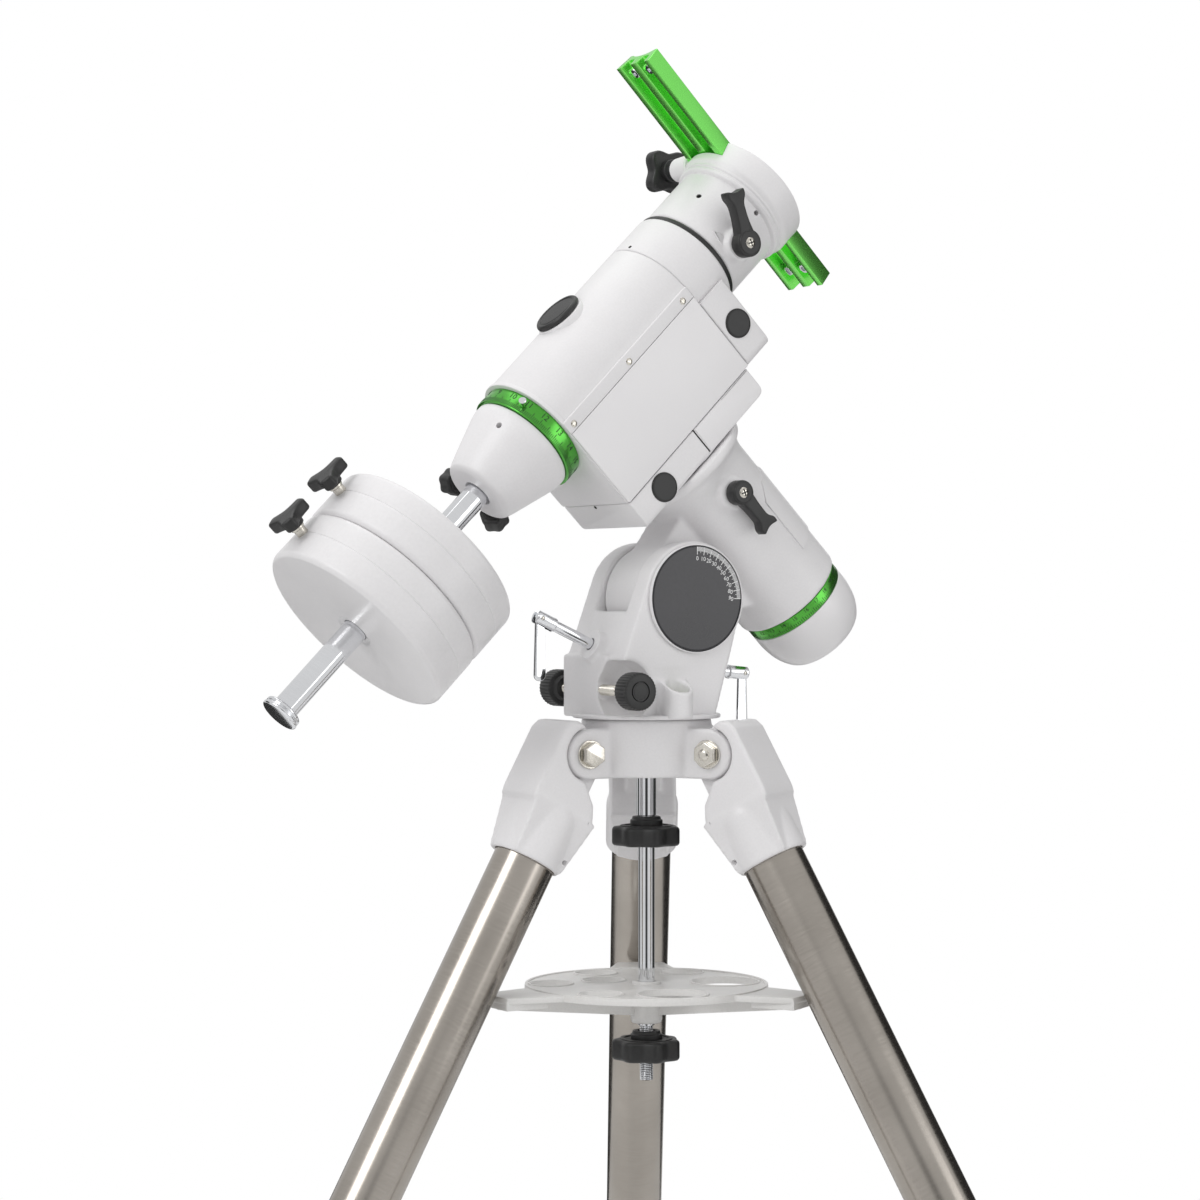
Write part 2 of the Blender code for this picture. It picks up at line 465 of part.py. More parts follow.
# --- polar axis -------------------------------------------------------------------------------------
def make_polar_axis(polar):
    profile = [(0, RA_TOP), (RA_FLANGE_R, RA_TOP), (RA_FLANGE_R, RA_TOP - RA_FLANGE_T)]
    profile += [(RA_R + 2, RA_TOP - RA_FLANGE_T - 3), (RA_R, RA_TOP - RA_FLANGE_T - 9), (RA_R, RA_END)]
    profile += [(SPIGOT_R, RA_END), (SPIGOT_R, SPIGOT_END), (0, SPIGOT_END)]
    inside = ARM_IN - GAP
    joins = [pin_through((-inside, inside), DRUM_R, -AXES_ABOVE, -AXES_ALONG, sides=30)]
    web = [(-AXES_ABOVE, -137), (-34, -137), (-34, -213), (-44, -213), (-50, -208), (-58, -193)]
    web += [(-AXES_ABOVE, -193)]
    joins += [slab([web], 2 * inside - 1.2, upright(0))]
    x, z = RA_LEVER
    joins += [rod((x, -36, z), (x, RA_BOSS_Y, z), 15, 11, sides=18)]
    cuts = [rod((0, 0, SPIGOT_END - 1), (0, 0, RA_TOP + 1), RA_BORE, sides=24)]
    cuts += [pin_through((-60, 60), AXLE_R + HOLE_GAP, -AXES_ABOVE, -AXES_ALONG)]
    cuts += [pin_through((-60, -30), 3 + HOLE_GAP, x, z, sides=10)]
    part("ra_housing", polar, turned(profile, sides=30), "white_paint", joins, cuts)

    lever = frame("ra_clutch_axis", polar, (x, RA_BOSS_Y, z), (90, 0, 0))
    make_clutch_lever("ra_clutch_lever", lever, (0, -1), 36, 8.0)

    ring = rod((0, 0, RA_CIRCLE_END), (0, 0, RA_END - GAP), RA_CIRCLE_R, sides=30)
    hole = rod((0, 0, RA_CIRCLE_END - 1), (0, 0, RA_END + 1), SPIGOT_R + HOLE_GAP, sides=30)
    part("ra_setting_circle", polar, ring, "green", (), [hole])

    top = RA_CIRCLE_END - GAP
    inner = SPIGOT_R + HOLE_GAP
    cup = [(0, POLAR_CAP_END + 4), (26, POLAR_CAP_END + 4), (SPIGOT_R - 1, -276), (inner, -262)]
    cup += [(inner, top), (40, top), (40, -262), (37.5, -275), (32, -286)]
    cup += [(25, POLAR_CAP_END), (0, POLAR_CAP_END)]
    part("polar_scope_cap", polar, turned(cup, sides=30), "white_paint")

    wheel = [(0, -102.3), (29.6, -102.3), (29.6, -128), (24, -132), (24, -250), (0, -250)]
    bore = rod((0, 0, -251), (0, 0, -101), SCOPE_BORE, sides=12)
    part("ra_shaft", polar, turned(wheel, sides=18), "steel", (), [bore])
    scope = [(0, -125), (SCOPE_R, -125), (SCOPE_R, -252), (18, -254), (18, -272), (12, -278), (0, -278)]
    part("polar_scope", polar, turned(scope, sides=12), "black_plastic")


def make_clutch_lever(name, lever, way, length, hub):
    """A clutch lever: local z outwards from the boss, its arm along `way` in the local x, y plane."""
    spin = turn_about("Z", math.degrees(math.atan2(way[1], way[0])))
    outline = lever_outline(hub, length, 5.2, 7.5)
    arm = slab([outline], LEVER_T - 2.5, spin @ shift(z=GAP + 1.5 + LEVER_T / 2))
    hub_rod = rod((0, 0, GAP), (0, 0, GAP + LEVER_T + 1.5), hub, sides=16)
    screw = rod((0, 0, -10), (0, 0, 2), 3, sides=10)
    part(name, lever, arm, "black_plastic", [hub_rod, screw])


# --- declination axis -------------------------------------------------------------------------------
def make_declination_body(dec):
    body = rod((0, 0, DEC_LOW), (0, 0, DEC_HIGH), DEC_R, sides=30)
    joins = [block(BOX_X, (BOX_WEST, BOX_EAST), BOX_Z)]
    joins += [block((BOX_X[1] - 1, NECK_END), (BOX_WEST + 0.5, BOX_EAST - 2), (BOX_Z[0] + 0.5, 2))]
    joins += [rod((BOX_X[1] - 1, 0, 0), (NECK_END - 0.2, 0, 0), NECK_R, sides=30)]
    joins += [block(SHOULDER_X, (BOX_WEST - 2, BOX_EAST - 3), (BOX_Z[1] - 1, SHOULDER_TOP))]
    joins += [rod((-30, 0, 0), (WINDOW_X, 0, 0), WINDOW_R, sides=18)]
    cuts = [rod((0, 0, DEC_LOW - 2), (0, 0, 60), DEC_BORE, sides=24)]
    cuts += [rod((0, 0, 59), (0, 0, DEC_HIGH + 1), DEC_NECK_BORE, sides=18)]
    cuts += [rod((WINDOW_X - 1, 0, 0), (NECK_END + 1, 0, 0), 13, sides=12)]
    cuts += [block((MOTOR_X[0] - 1, MOTOR_X[1] + 1), (BOX_WEST - 5, 38), (-64, 60))]
    part("dec_housing", dec, body, "white_paint", joins, cuts)

    west = BOX_WEST - GAP
    cover = block((COVER_START, BOX_X[1] - 1 - GAP), (west - COVER_T + GAP, west),
                  (BOX_Z[0] + 1, BOX_Z[1] - 1 - GAP))
    part("dec_side_cover", dec, cover, "white_paint")

    shell = block((BOX_X[1] + GAP, NECK_END - 1), (-45, 44), (2 + GAP, 67))
    cuts = [rod((60, 0, 0), (110, 0, 0), NECK_R + HOLE_GAP, sides=30)]
    cuts += [block((BOX_X[1] - 1, NECK_END - 4), (-41, 40), (50, 64))]
    part("dec_motor_cover", dec, shell, "white_paint", (), cuts)

    middle = sum(MOTOR_X) / 2
    for name, z in MOTOR_Z.items():
        motor = block(MOTOR_X, (-18, 30), (z - 17, z + 17))
        gear = [rod((middle, -19, z), (middle, -17, z), 11, sides=12)]
        gear += [rod((middle, -30, z), (middle, -18, z), 3, sides=10)]
        gear += [slab([lobed(10, 1.4, 12, 3)], 6, shift(middle, -27, z) @ turn_about("X", 90))]
        part(name, dec, motor, "black_plastic", gear)

    ring = rod((0, 0, DEC_CIRCLE_END), (0, 0, BOX_Z[0] - GAP), DEC_CIRCLE_R, sides=30)
    hole = rod((0, 0, DEC_CIRCLE_END - 1), (0, 0, DEC_LOW + 1), 35 + HOLE_GAP, sides=30)
    part("dec_setting_circle", dec, ring, "green", (), [hole])

    rim = DEC_CIRCLE_END - GAP
    cone = [(0, DEC_LOW - GAP), (35, DEC_LOW - GAP), (35, rim), (CONE_R, rim), (CONE_R, rim - 7)]
    cone += [(CONE_END_R, CONE_END), (0, CONE_END)]
    cuts = [rod((0, 0, CONE_END - 1), (0, 0, DEC_LOW + 1), SHAFT_R + HOLE_GAP, sides=18)]
    for angle in LOCK_ANGLES:
        way = turn_about("Z", angle) @ Vector((1, 0, 0))
        height = Vector((0, 0, LOCK_Z))
        cuts.append(rod(height + way * 4, height + way * 50, 3.5 + HOLE_GAP, sides=10))
    part("dec_end_cone", dec, turned(cone, sides=30), "white_paint", (), cuts)

    for name, angle in zip(("upper", "lower"), LOCK_ANGLES):
        axis = side_frame(f"shaft_lock_{name}_axis", dec, LOCK_Z, angle)
        wheel = slab([lobed(10, 1.2, 6, 4)], 12, shift(z=38))
        stud = rod((0, 0, SHAFT_R + HOLE_GAP), (0, 0, 34), 3.5, sides=10)
        part(f"shaft_lock_knob_{name}", axis, wheel, "black_plastic", [stud])

    axis = frame("window_cap_axis", dec, (WINDOW_X, 0, 0), (0, -90, 0))
    cap = [(0, 3.8), (16.5, 3.8), (18, 2.5), (18, GAP), (12.5, GAP), (12.5, -7), (0, -7)]
    part("polar_window_cap", axis, turned(cap, sides=18), "black_plastic")


def side_frame(name, parent, height, angle):
    """A frame on the parent's z axis whose own z points out sideways at this angle round it."""
    spin = Matrix.Rotation(math.radians(angle), 3, "Z") @ Matrix.Rotation(math.radians(90), 3, "Y")
    return frame(name, parent, (0, 0, height), [math.degrees(a) for a in spin.to_euler()])


def make_saddle(dec):
    profile = [(0, 108.7), (36.5, 108.7), (36.5, DEC_HIGH + GAP), (27.5, DEC_HIGH + GAP)]
    profile += [(27.5, 61), (24, 58), (24, 36), (32, 34), (32, 22), (24, 20), (24, -66), (0, -66)]
    cuts = [rod((0, 0, -67), (0, 0, 110), 12, sides=12), rod((-40, 0, 0), (40, 0, 0), 9, sides=10)]
    part("dec_shaft", dec, turned(profile, sides=24), "steel", (), cuts)

    profile = [(0, SADDLE_TOP), (PUCK_R, SADDLE_TOP), (PUCK_R, SADDLE_TOP - 22)]
    profile += [(43.5, SADDLE_TOP - 26), (SADDLE_R, SADDLE_TOP - 32)]
    profile += [(SADDLE_R, SADDLE_LOW), (0, SADDLE_LOW)]
    x, z = DEC_LEVER
    joins = [rod((x, -30, z), (x, DEC_BOSS_Y, z), 15, 11.5, sides=18)]
    knob_x, knob_z = SADDLE_KNOB_X, SADDLE_KNOB_Z
    joins += [rod((knob_x, 26, knob_z - 2), (knob_x, 46, knob_z - 2), 9, sides=12)]
    low, high = BAR_LOW - GAP, SADDLE_TOP + 3
    slope = (BAR_HALF - BAR_TOP_HALF) / (BAR_TOP - BAR_LOW)
    groove = [(-BAR_HALF - 0.5, low), (BAR_HALF + 0.5, low)]
    narrow = BAR_HALF + 0.5 - slope * (high - low)
    groove += [(narrow, high), (-narrow, high)]
    cuts = [slab([groove], 140, along_x())]
    cuts += [rod((knob_x, 15, knob_z), (knob_x, 62, knob_z), 4 + HOLE_GAP, sides=10)]
    cuts += [pin_through((-60, -20), 3 + HOLE_GAP, x, z, sides=10)]
    part("saddle_head", dec, turned(profile, sides=30), "white_paint", joins, cuts)

    lever = frame("dec_clutch_axis", dec, (x, DEC_BOSS_Y, z), (90, 0, 0))
    make_clutch_lever("dec_clutch_lever", lever, (-35.5, 17.7), 40, 9.5)

    # a dovetail bar: wide foot, sloping sides, two grooves below and a shallow channel on top
    half, top, rib, channel = BAR_HALF, BAR_TOP_HALF, BAR_RIB, BAR_CHANNEL
    land = channel + 2
    deep = BAR_LOW + BAR_GROOVE
    bar = [(-half, BAR_LOW), (-land, BAR_LOW), (-land, deep), (-rib, deep), (-rib, BAR_LOW)]
    bar += [(rib, BAR_LOW), (rib, deep), (land, deep), (land, BAR_LOW), (half, BAR_LOW)]
    bar += [(top, BAR_TOP), (land, BAR_TOP), (channel, BAR_TOP - 2)]
    bar += [(-channel, BAR_TOP - 2), (-land, BAR_TOP), (-top, BAR_TOP)]
    body = slab([bar], BAR_LENGTH, shift(x=-BAR_SHIFT) @ along_x())
    part("dovetail_bar", dec, body, "green")

    axis = frame("saddle_knob_axis", dec, (knob_x, 0, knob_z), (-90, 0, 0))
    wheel = slab([lobed(19, 5, 4, 7)], 12, shift(z=SADDLE_KNOB_Y + 8))
    joins = [rod((0, 0, 22.8), (0, 0, SADDLE_KNOB_Y + 5), 4, sides=10)]
    joins += [rod((0, 0, SADDLE_KNOB_Y - 4), (0, 0, SADDLE_KNOB_Y + 6), 8, sides=12)]
    part("saddle_lock_knob", axis, wheel, "black_plastic", joins)


def make_counterweights(dec):
    bar = rod((0, 0, SHAFT_END), (0, 0, SHAFT_TOP), SHAFT_R, sides=18)
    hole = rod((0, 0, SHAFT_END - 1), (0, 0, SHAFT_END + 14), 4 + HOLE_GAP, sides=10)
    part("counterweight_shaft", dec, bar, "chrome", (), [hole])
    cap = [(0, SHAFT_END + 12), (4, SHAFT_END + 12), (4, SHAFT_END - GAP), (13, SHAFT_END - GAP)]
    cap += [(14, SHAFT_END - 1.5), (14, SHAFT_END - 6), (13, SHAFT_END - 7), (0, SHAFT_END - 7)]
    part("shaft_end_cap", dec, turned(cap, sides=18), "chrome")
    for index, name in enumerate(("upper", "lower")):
        top = WEIGHT_TOP - index * (WEIGHT_T + GAP)
        low = top - WEIGHT_T
        disc = [(0, top), (WEIGHT_R, top), (WEIGHT_R, low), (0, low)]
        middle = (top + low) / 2
        cuts = [rod((0, 0, low - 1), (0, 0, top + 1), SHAFT_R + HOLE_GAP, sides=18)]
        way = turn_about("Z", WEIGHT_KNOB_ANGLE) @ Vector((1, 0, 0))
        height = Vector((0, 0, middle))
        cuts += [rod(height + way * 4, height + way * (WEIGHT_R + 10), 3.5 + HOLE_GAP, sides=10)]
        part(f"counterweight_{name}", dec, turned(disc, sides=36), "white_paint", (), cuts)
        axis = side_frame(f"weight_knob_{name}_axis", dec, middle, WEIGHT_KNOB_ANGLE)
        wheel = slab([lobed(17, 6, 3, 8)], 9, shift(z=WEIGHT_R + 14))
        joins = [rod((0, 0, SHAFT_R + HOLE_GAP), (0, 0, WEIGHT_R + 12), 3.5, sides=10)]
        joins += [rod((0, 0, WEIGHT_R + 5), (0, 0, WEIGHT_R + 11), 6.5, sides=10)]
        part(f"weight_knob_{name}", axis, wheel, "black_plastic", joins)


floor_cut = block((-900, 900), (-900, 900), (-200, 0))
floor_cut.name = "floor_cut"
floor_cut["in_world"] = True
tripod_axis = frame("tripod_axis", None, (TRIPOD_X, 0, HUB_TOP))
mount_axis = frame("azimuth_axis", tripod_axis)
latitude_axis = frame("latitude_axis", mount_axis, (TILT_X, 0, TILT_Z), (0, LATITUDE - 90, 0))
polar_axis = frame("polar_axis", latitude_axis, (AXES_ABOVE, 0, AXES_ALONG))
declination_axis = frame("declination_axis", polar_axis, (0, 0, -DEC_DROP), (0, 90, 0))

make_hub(tripod_axis)
for leg, where in LEGS.items():
    make_leg(leg, tripod_axis, where, floor_cut)
make_rod_and_tray(tripod_axis)
make_base(mount_axis)
make_polar_axis(polar_axis)
make_declination_body(declination_axis)
make_saddle(declination_axis)
make_counterweights(declination_axis)
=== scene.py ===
import json
import math

import bmesh
import bpy
from mathutils import Matrix, Vector


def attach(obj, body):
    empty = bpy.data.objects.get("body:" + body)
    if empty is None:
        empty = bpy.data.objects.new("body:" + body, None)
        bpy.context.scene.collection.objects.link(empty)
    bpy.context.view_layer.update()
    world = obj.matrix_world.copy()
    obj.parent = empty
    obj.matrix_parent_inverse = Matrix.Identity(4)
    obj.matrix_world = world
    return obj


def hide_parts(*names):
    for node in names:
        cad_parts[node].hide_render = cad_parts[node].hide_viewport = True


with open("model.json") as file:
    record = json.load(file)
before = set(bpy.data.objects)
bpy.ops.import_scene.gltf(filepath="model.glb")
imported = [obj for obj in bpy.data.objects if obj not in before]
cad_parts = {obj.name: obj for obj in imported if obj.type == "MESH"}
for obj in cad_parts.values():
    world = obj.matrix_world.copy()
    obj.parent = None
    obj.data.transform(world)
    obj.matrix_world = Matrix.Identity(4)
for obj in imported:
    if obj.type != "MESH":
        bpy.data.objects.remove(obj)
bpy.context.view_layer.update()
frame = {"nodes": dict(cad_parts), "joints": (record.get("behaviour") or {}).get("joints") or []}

# The detailed looks of an equatorial telescope mount on its tripod. Each piece is modelled in
# millimetres in the frame of the joint that it stands on, and then placed on its CAD body.

MM = 0.001
GAP = 0.35                                  # a seam between two painted pieces

# --- driving sizes, in millimetres ------------------------------------------------------------------
HUB_R, HUB_H = 47.0, 41.0
EAR_IN, EAR_OUT, EAR_R = 13.0, 21.0, 18.0
PIVOT_R, PIVOT_DROP = 60.0, 24.0
LEGS = {"north": 180.0, "southwest": -60.0, "southeast": 60.0}
BOLT_R = 5.0
TUBE_R, TUBE_BORE, TUBE_TOP, TUBE_END = 22.25, 20.6, -42.5, -800.0
SOCKET_R, SOCKET_END = 27.0, -86.0
CLAMP_TOP, CLAMP_END, CLAMP_R, CLAMP_SCREW_Z = -764.0, -842.0, 29.0, -821.0
INNER_R, INNER_BORE, INNER_TOP, INNER_END = 19.0, 17.5, -330.0, -905.0
FOOT_R, FOOT_END = 22.0, -960.0
ROD_R, ROD_TOP_R, ROD_THREAD_R = 6.0, 7.0, 5.0
ROD_TOP, ROD_END = 14.0, -261.0
KNOB_R, ROD_KNOB_Z, TRAY_KNOB_Z = 25.0, -70.0, -224.5
TRAY_Z, TRAY_T, TRAY_R, TRAY_REACH = -192.0, 4.5, 88.0, 126.5
TRAY_HOLES = [(60, 256, 24), (58, 339, 24), (66, 209, 15), (71, 36, 15)]
TRAY_HOLES += [(69, 149, 15), (69, 91, 15), (36, 118, 15)]
BASE_R, BASE_T = 53.5, 3.0
ARM_IN, ARM_OUT, ARM_TOP_R = 21.5, 40.0, 41.0
TILT_X, TILT_Z, CRADLE_R, DRUM_R = 16.0, 86.0, 40.5, 39.0
AXLE_R, DIAL_R, DIAL_T = 8.0, 39.0, 2.5
AZ_X, AZ_Z, AZ_RECESS_R = -42.0, 21.0, 21.5
AZ_KNOB_R, AZ_KNOB_Y, AZ_KNOB_L = 13.5, 45.0, 15.0
LEVEL_X, LEVEL_Y, LEVEL_R, LEVEL_IN, LEVEL_OUT = -4.0, -48.0, 11.0, 29.0, 19.0
ALT_R, ALT_BOSS_R = 4.0, 11.5
NORTH_BOLT, SOUTH_BOLT = (-47.0, 53.5, 24.0, 50.0), (53.0, 34.0, -5.0, 34.0)
AXES_ALONG, AXES_ABOVE = 167.0, 79.0
RA_R, RA_TOP, RA_END = 42.0, -103.0, -240.0
RA_FLANGE_R, RA_FLANGE_T = 50.0, 7.0
SPIGOT_R, SPIGOT_END = 33.5, -256.0
RA_CIRCLE_R, RA_CIRCLE_END, POLAR_CAP_END = 40.0, -249.3, -291.0
RA_LEVER, RA_BOSS_Y, LEVER_T = (-4.0, -135.0), -45.5, 11.0
DEC_R, DEC_LOW, DEC_HIGH, SEAM_Z = 43.0, -73.0, 105.0, 70.0
BOX_START, BOX_END, BOX_WEST, BOX_EAST = 7.0, 73.5, -44.8, 48.0
SHOULDER_X, SHOULDER_TOP, NECK_END = (14.5, 74.5), 97.0, 96.5
WINDOW_R, WINDOW_X = 19.0, -44.0
PIN_TURN = 0.23
DEC_CIRCLE_R, DEC_CIRCLE_END = 41.0, -86.4
CONE_R, CONE_END_R, CONE_END = 39.0, 26.0, -137.0
LOCK_Z, LOCK_ANGLES = -129.0, {"upper": 98.0, "lower": 38.0}
SADDLE_LOW, SADDLE_TOP, SADDLE_R, PUCK_R = 109.0, 186.0, 41.0, 46.5
DEC_LEVER, DEC_BOSS_Y = (7.0, 126.0), -46.0
BAR_LENGTH, BAR_SHIFT = 215.0, 22.5
BAR_LOW, BAR_TOP, BAR_HALF, BAR_TOP_HALF = 173.0, 187.0, 22.0, 18.0
SADDLE_KNOB_X, SADDLE_KNOB_Z, SADDLE_KNOB_Y = -35.0, 178.0, 58.0
SHAFT_R, SHAFT_TOP, SHAFT_END = 9.0, -60.0, -345.0
WEIGHT_R, WEIGHT_T, WEIGHT_TOP = 74.0, 40.0, -192.0


# --- frames -----------------------------------------------------------------------------------------
JOINTS = {j["name"]: j for j in frame["joints"]}


def stand(origin, z, x):
    """A frame at origin whose z and x axes point these ways."""
    z = Vector(z).normalized()
    y = z.cross(Vector(x)).normalized()
    return Matrix.Translation(Vector(origin)) @ Matrix((y.cross(z), y, z)).transposed().to_4x4()


def joint_at(name):
    return Vector(JOINTS[name]["pos_m"])


def joint_axis(name):
    return Vector(JOINTS[name]["axis"])


X, Y, Z = Vector((1, 0, 0)), Vector((0, 1, 0)), Vector((0, 0, 1))
TRIPOD = stand(joint_at("fixing_rod_turn"), Z, X)
POLAR_WAY, DEC_WAY = joint_axis("ra_turn"), joint_axis("dec_turn")
POLAR = stand(joint_at("ra_turn"), POLAR_WAY, DEC_WAY)
DEC = stand(joint_at("dec_turn"), DEC_WAY, -POLAR_WAY)
DIAL = stand(joint_at("latitude_tilt"), -Y, X)


def leg_frame(leg):
    """The frame of a leg: origin on its pivot, y along the pivot, z up the tube."""
    up = -joint_axis(f"leg_extend_{leg}")
    return stand(joint_at(f"leg_fold_{leg}"), up, joint_axis(f"leg_fold_{leg}").cross(up))


def turn_frame(joint, x=X):
    """The frame of a knob or bolt: z along its joint's axis."""
    return stand(joint_at(joint), joint_axis(joint), x)


# --- shapes, all in millimetres ---------------------------------------------------------------------
def shape_of(bm, name="shape"):
    bmesh.ops.recalc_face_normals(bm, faces=bm.faces)
    mesh = bpy.data.meshes.new(name)
    bm.to_mesh(mesh)
    bm.free()
    obj = bpy.data.objects.new(name, mesh)
    bpy.context.scene.collection.objects.link(obj)
    return obj


def settle(obj):
    """Applies an object's modifiers."""
    bpy.context.view_layer.update()
    graph = bpy.context.evaluated_depsgraph_get()
    mesh = bpy.data.meshes.new_from_object(obj.evaluated_get(graph))
    obj.modifiers.clear()
    obj.data = mesh
    return obj


def moved(obj, matrix):
    obj.data.transform(matrix)
    return obj


def twin(obj, matrix=None):
    """A copy with a mesh of its own, moved if a matrix is given."""
    other = bpy.data.objects.new(obj.name, obj.data.copy())
    bpy.context.scene.collection.objects.link(other)
    return other if matrix is None else moved(other, matrix)


def joined(*shapes):
    """One object from several, which stay separate bodies inside it."""
    bm = bmesh.new()
    for shape in shapes:
        bm.from_mesh(shape.data)
        bpy.data.objects.remove(shape)
    return shape_of(bm)


def shift(x=0.0, y=0.0, z=0.0):
    return Matrix.Translation((x, y, z))


def spin(axis, degrees):
    return Matrix.Rotation(math.radians(degrees), 4, axis)


def arc(cx, cy, radius, start, end, steps):
    angles = [math.radians(start + (end - start) * i / steps) for i in range(steps + 1)]
    return [(cx + radius * math.cos(a), cy + radius * math.sin(a)) for a in angles]


def rounded(points, radius, closed=True, steps=5):
    """An outline with its corners rounded; a point may bring its own radius as a third number."""
    out = []
    last = len(points) - 1
    for i, point in enumerate(points):
        here = Vector(point[:2])
        a = Vector(points[i - 1][:2]) - here
        b = Vector(points[(i + 1) % len(points)][:2]) - here
        reach = min(point[2] if len(point) > 2 else radius, a.length * 0.48, b.length * 0.48)
        if reach < 0.03 or (not closed and i in (0, last)):
            out.append(tuple(here))
            continue
        p = here + a.normalized() * reach
        q = here + b.normalized() * reach
        for k in range(steps + 1):
            t = k / steps
            out.append(tuple(p * (1 - t) ** 2 + here * 2 * t * (1 - t) + q * t * t))
    return out


def lobed(radius, dip, lobes, steps=10, sharp=1.0):
    """A star knob's outline: rounded lobes with dips between them."""
    count = lobes * steps
    angles = [2 * math.pi * i / count for i in range(count)]
    reach = [radius - dip * ((1 - math.cos(lobes * a)) / 2) ** sharp for a in angles]
    return [(r * math.cos(a), r * math.sin(a)) for a, r in zip(angles, reach)]


def turned(profile, sides=72, ring=False):
    """A lathe-turned solid: (radius, z) points run from the top down the outer side."""
    bm = bmesh.new()
    rows = []
    for r, z in profile:
        angles = [2 * math.pi * i / sides for i in range(sides)] if r > 0.001 else [0.0]
        rows.append([bm.verts.new((r * math.cos(a), r * math.sin(a), z)) for a in angles])
    pairs = list(zip(rows, rows[1:]))
    if ring:
        pairs.append((rows[-1], rows[0]))
    for upper, lower in pairs:
        for i in range(sides):
            j = i + 1
            corners = [upper[i % len(upper)], lower[i % len(lower)]]
            corners += [lower[j % len(lower)], upper[j % len(upper)]]
            corners = list(dict.fromkeys(corners))
            if len(corners) > 2:
                bm.faces.new(corners)
    return shape_of(bm)


def lathe(profile, radius, sides=72, steps=5):
    """A turned solid whose profile starts and ends on the axis, with rounded corners."""
    return turned(rounded(profile, radius, False, steps), sides)


def band(profile, radius, sides=72, steps=5):
    """A turned ring with rounded corners."""
    return turned(rounded(profile, radius, True, steps), sides, ring=True)


def slab(outline, low, high, edge=0.6, holes=()):
    """A flat outline, with any holes in it, thickened from low to high with rounded edges."""
    curve = bpy.data.curves.new("slab", "CURVE")
    curve.dimensions = "2D"
    curve.fill_mode = "BOTH"
    curve.extrude = (high - low) / 2 - edge
    curve.bevel_depth = edge
    curve.bevel_resolution = 2
    curve.offset = -edge
    for points in [outline, *holes]:
        spline = curve.splines.new("POLY")
        spline.points.add(len(points) - 1)
        for place, (x, y) in zip(spline.points, points):
            place.co = (x, y, 0.0, 1.0)
        spline.use_cyclic_u = True
    drawn = bpy.data.objects.new("outline", curve)
    bpy.context.scene.collection.objects.link(drawn)
    bpy.context.view_layer.update()
    graph = bpy.context.evaluated_depsgraph_get()
    mesh = bpy.data.meshes.new_from_object(drawn.evaluated_get(graph))
    bpy.data.objects.remove(drawn)
    bm = bmesh.new()
    bm.from_mesh(mesh)
    bmesh.ops.remove_doubles(bm, verts=bm.verts, dist=0.001)
    bmesh.ops.translate(bm, verts=bm.verts, vec=(0, 0, (low + high) / 2))
    return shape_of(bm)


def standing(outline, low, high, edge=0.6, holes=()):
    """An (x, z) outline thickened along y from low to high."""
    return moved(slab(outline, -high, -low, edge, holes), spin("X", 90))


def lengthwise(outline, low, high, edge=0.6):
    """A (y, z) outline thickened along x from low to high."""
    return moved(slab(outline, low, high, edge),
                 Matrix(((0, 0, 1, 0), (1, 0, 0, 0), (0, 1, 0, 0), (0, 0, 0, 1))))


def rod(start, end, radius, end_radius=None, edge=0.5, sides=48):
    """A round bar or cone between two points, with its edges eased."""
    start, end = Vector(start), Vector(end)
    last = radius if end_radius is None else end_radius
    length = (end - start).length
    profile = [(0, length), (last - edge, length), (last, length - edge)]
    profile += [(radius, edge), (radius - edge, 0), (0, 0)]
    place = Matrix.Translation(start) @ (end - start).to_track_quat("Z", "Y").to_matrix().to_4x4()
    return moved(turned(profile, sides), place)


def block(x, y, z, corner=1.0, edge=0.6):
    """A box between two limits on each axis, with rounded upright corners."""
    points = [(x[0], y[0]), (x[1], y[0]), (x[1], y[1]), (x[0], y[1])]
    return slab(rounded(points, corner), z[0], z[1], edge)


def hexagon(across, low, high):
    """A hexagon head, with its corners eased towards its faces."""
    corner = across / math.cos(math.radians(30)) / 2
    return slab(rounded(arc(0, 0, corner, 0, 300, 5), 0.8), low, high, 0.7)


def threaded(radius, low, high, pitch=1.25, depth=0.55, sides=40):
    """A screw thread: a bar whose radius rises and falls along a helix."""
    bm = bmesh.new()
    steps = int((high - low) / pitch * 6)
    rows = []
    for k in range(steps + 1):
        z = low + (high - low) * k / steps
        row = []
        for i in range(sides):
            turn = (z / pitch - i / sides) % 1.0
            r = radius - depth * abs(2 * turn - 1)
            a = 2 * math.pi * i / sides
            row.append(bm.verts.new((r * math.cos(a), r * math.sin(a), z)))
        rows.append(row)
    for lower, upper in zip(rows, rows[1:]):
        for i in range(sides):
            j = (i + 1) % sides
            bm.faces.new((lower[i], lower[j], upper[j], upper[i]))
    bm.faces.new(rows[0])
    bm.faces.new(rows[-1])
    return shape_of(bm)


def cut(body, *tools):
    """Takes the tools away from the body."""
    tool = joined(*tools)
    change = body.modifiers.new("cut", "BOOLEAN")
    change.operation = "DIFFERENCE"
    change.solver = "EXACT"
    change.use_self = True
    change.object = tool
    settle(body)
    bpy.data.objects.remove(tool)
    return body


def melt(body, voxel, rounds):
    """Fuses overlapping solids and softens their edges, as on a painted casting."""
    remesh = body.modifiers.new("fuse", "REMESH")
    remesh.mode = "VOXEL"
    remesh.voxel_size = voxel
    smooth = body.modifiers.new("soften", "SMOOTH")
    smooth.factor = 0.5
    smooth.iterations = rounds
    return settle(body)


def cast(solids, cuts=(), voxel=1.1, rounds=5):
    """A casting: solids fused, cut, and softened all over."""
    body = melt(joined(*solids), voxel, 1)
    if cuts:
        cut(body, *cuts)
    return melt(body, voxel, rounds)


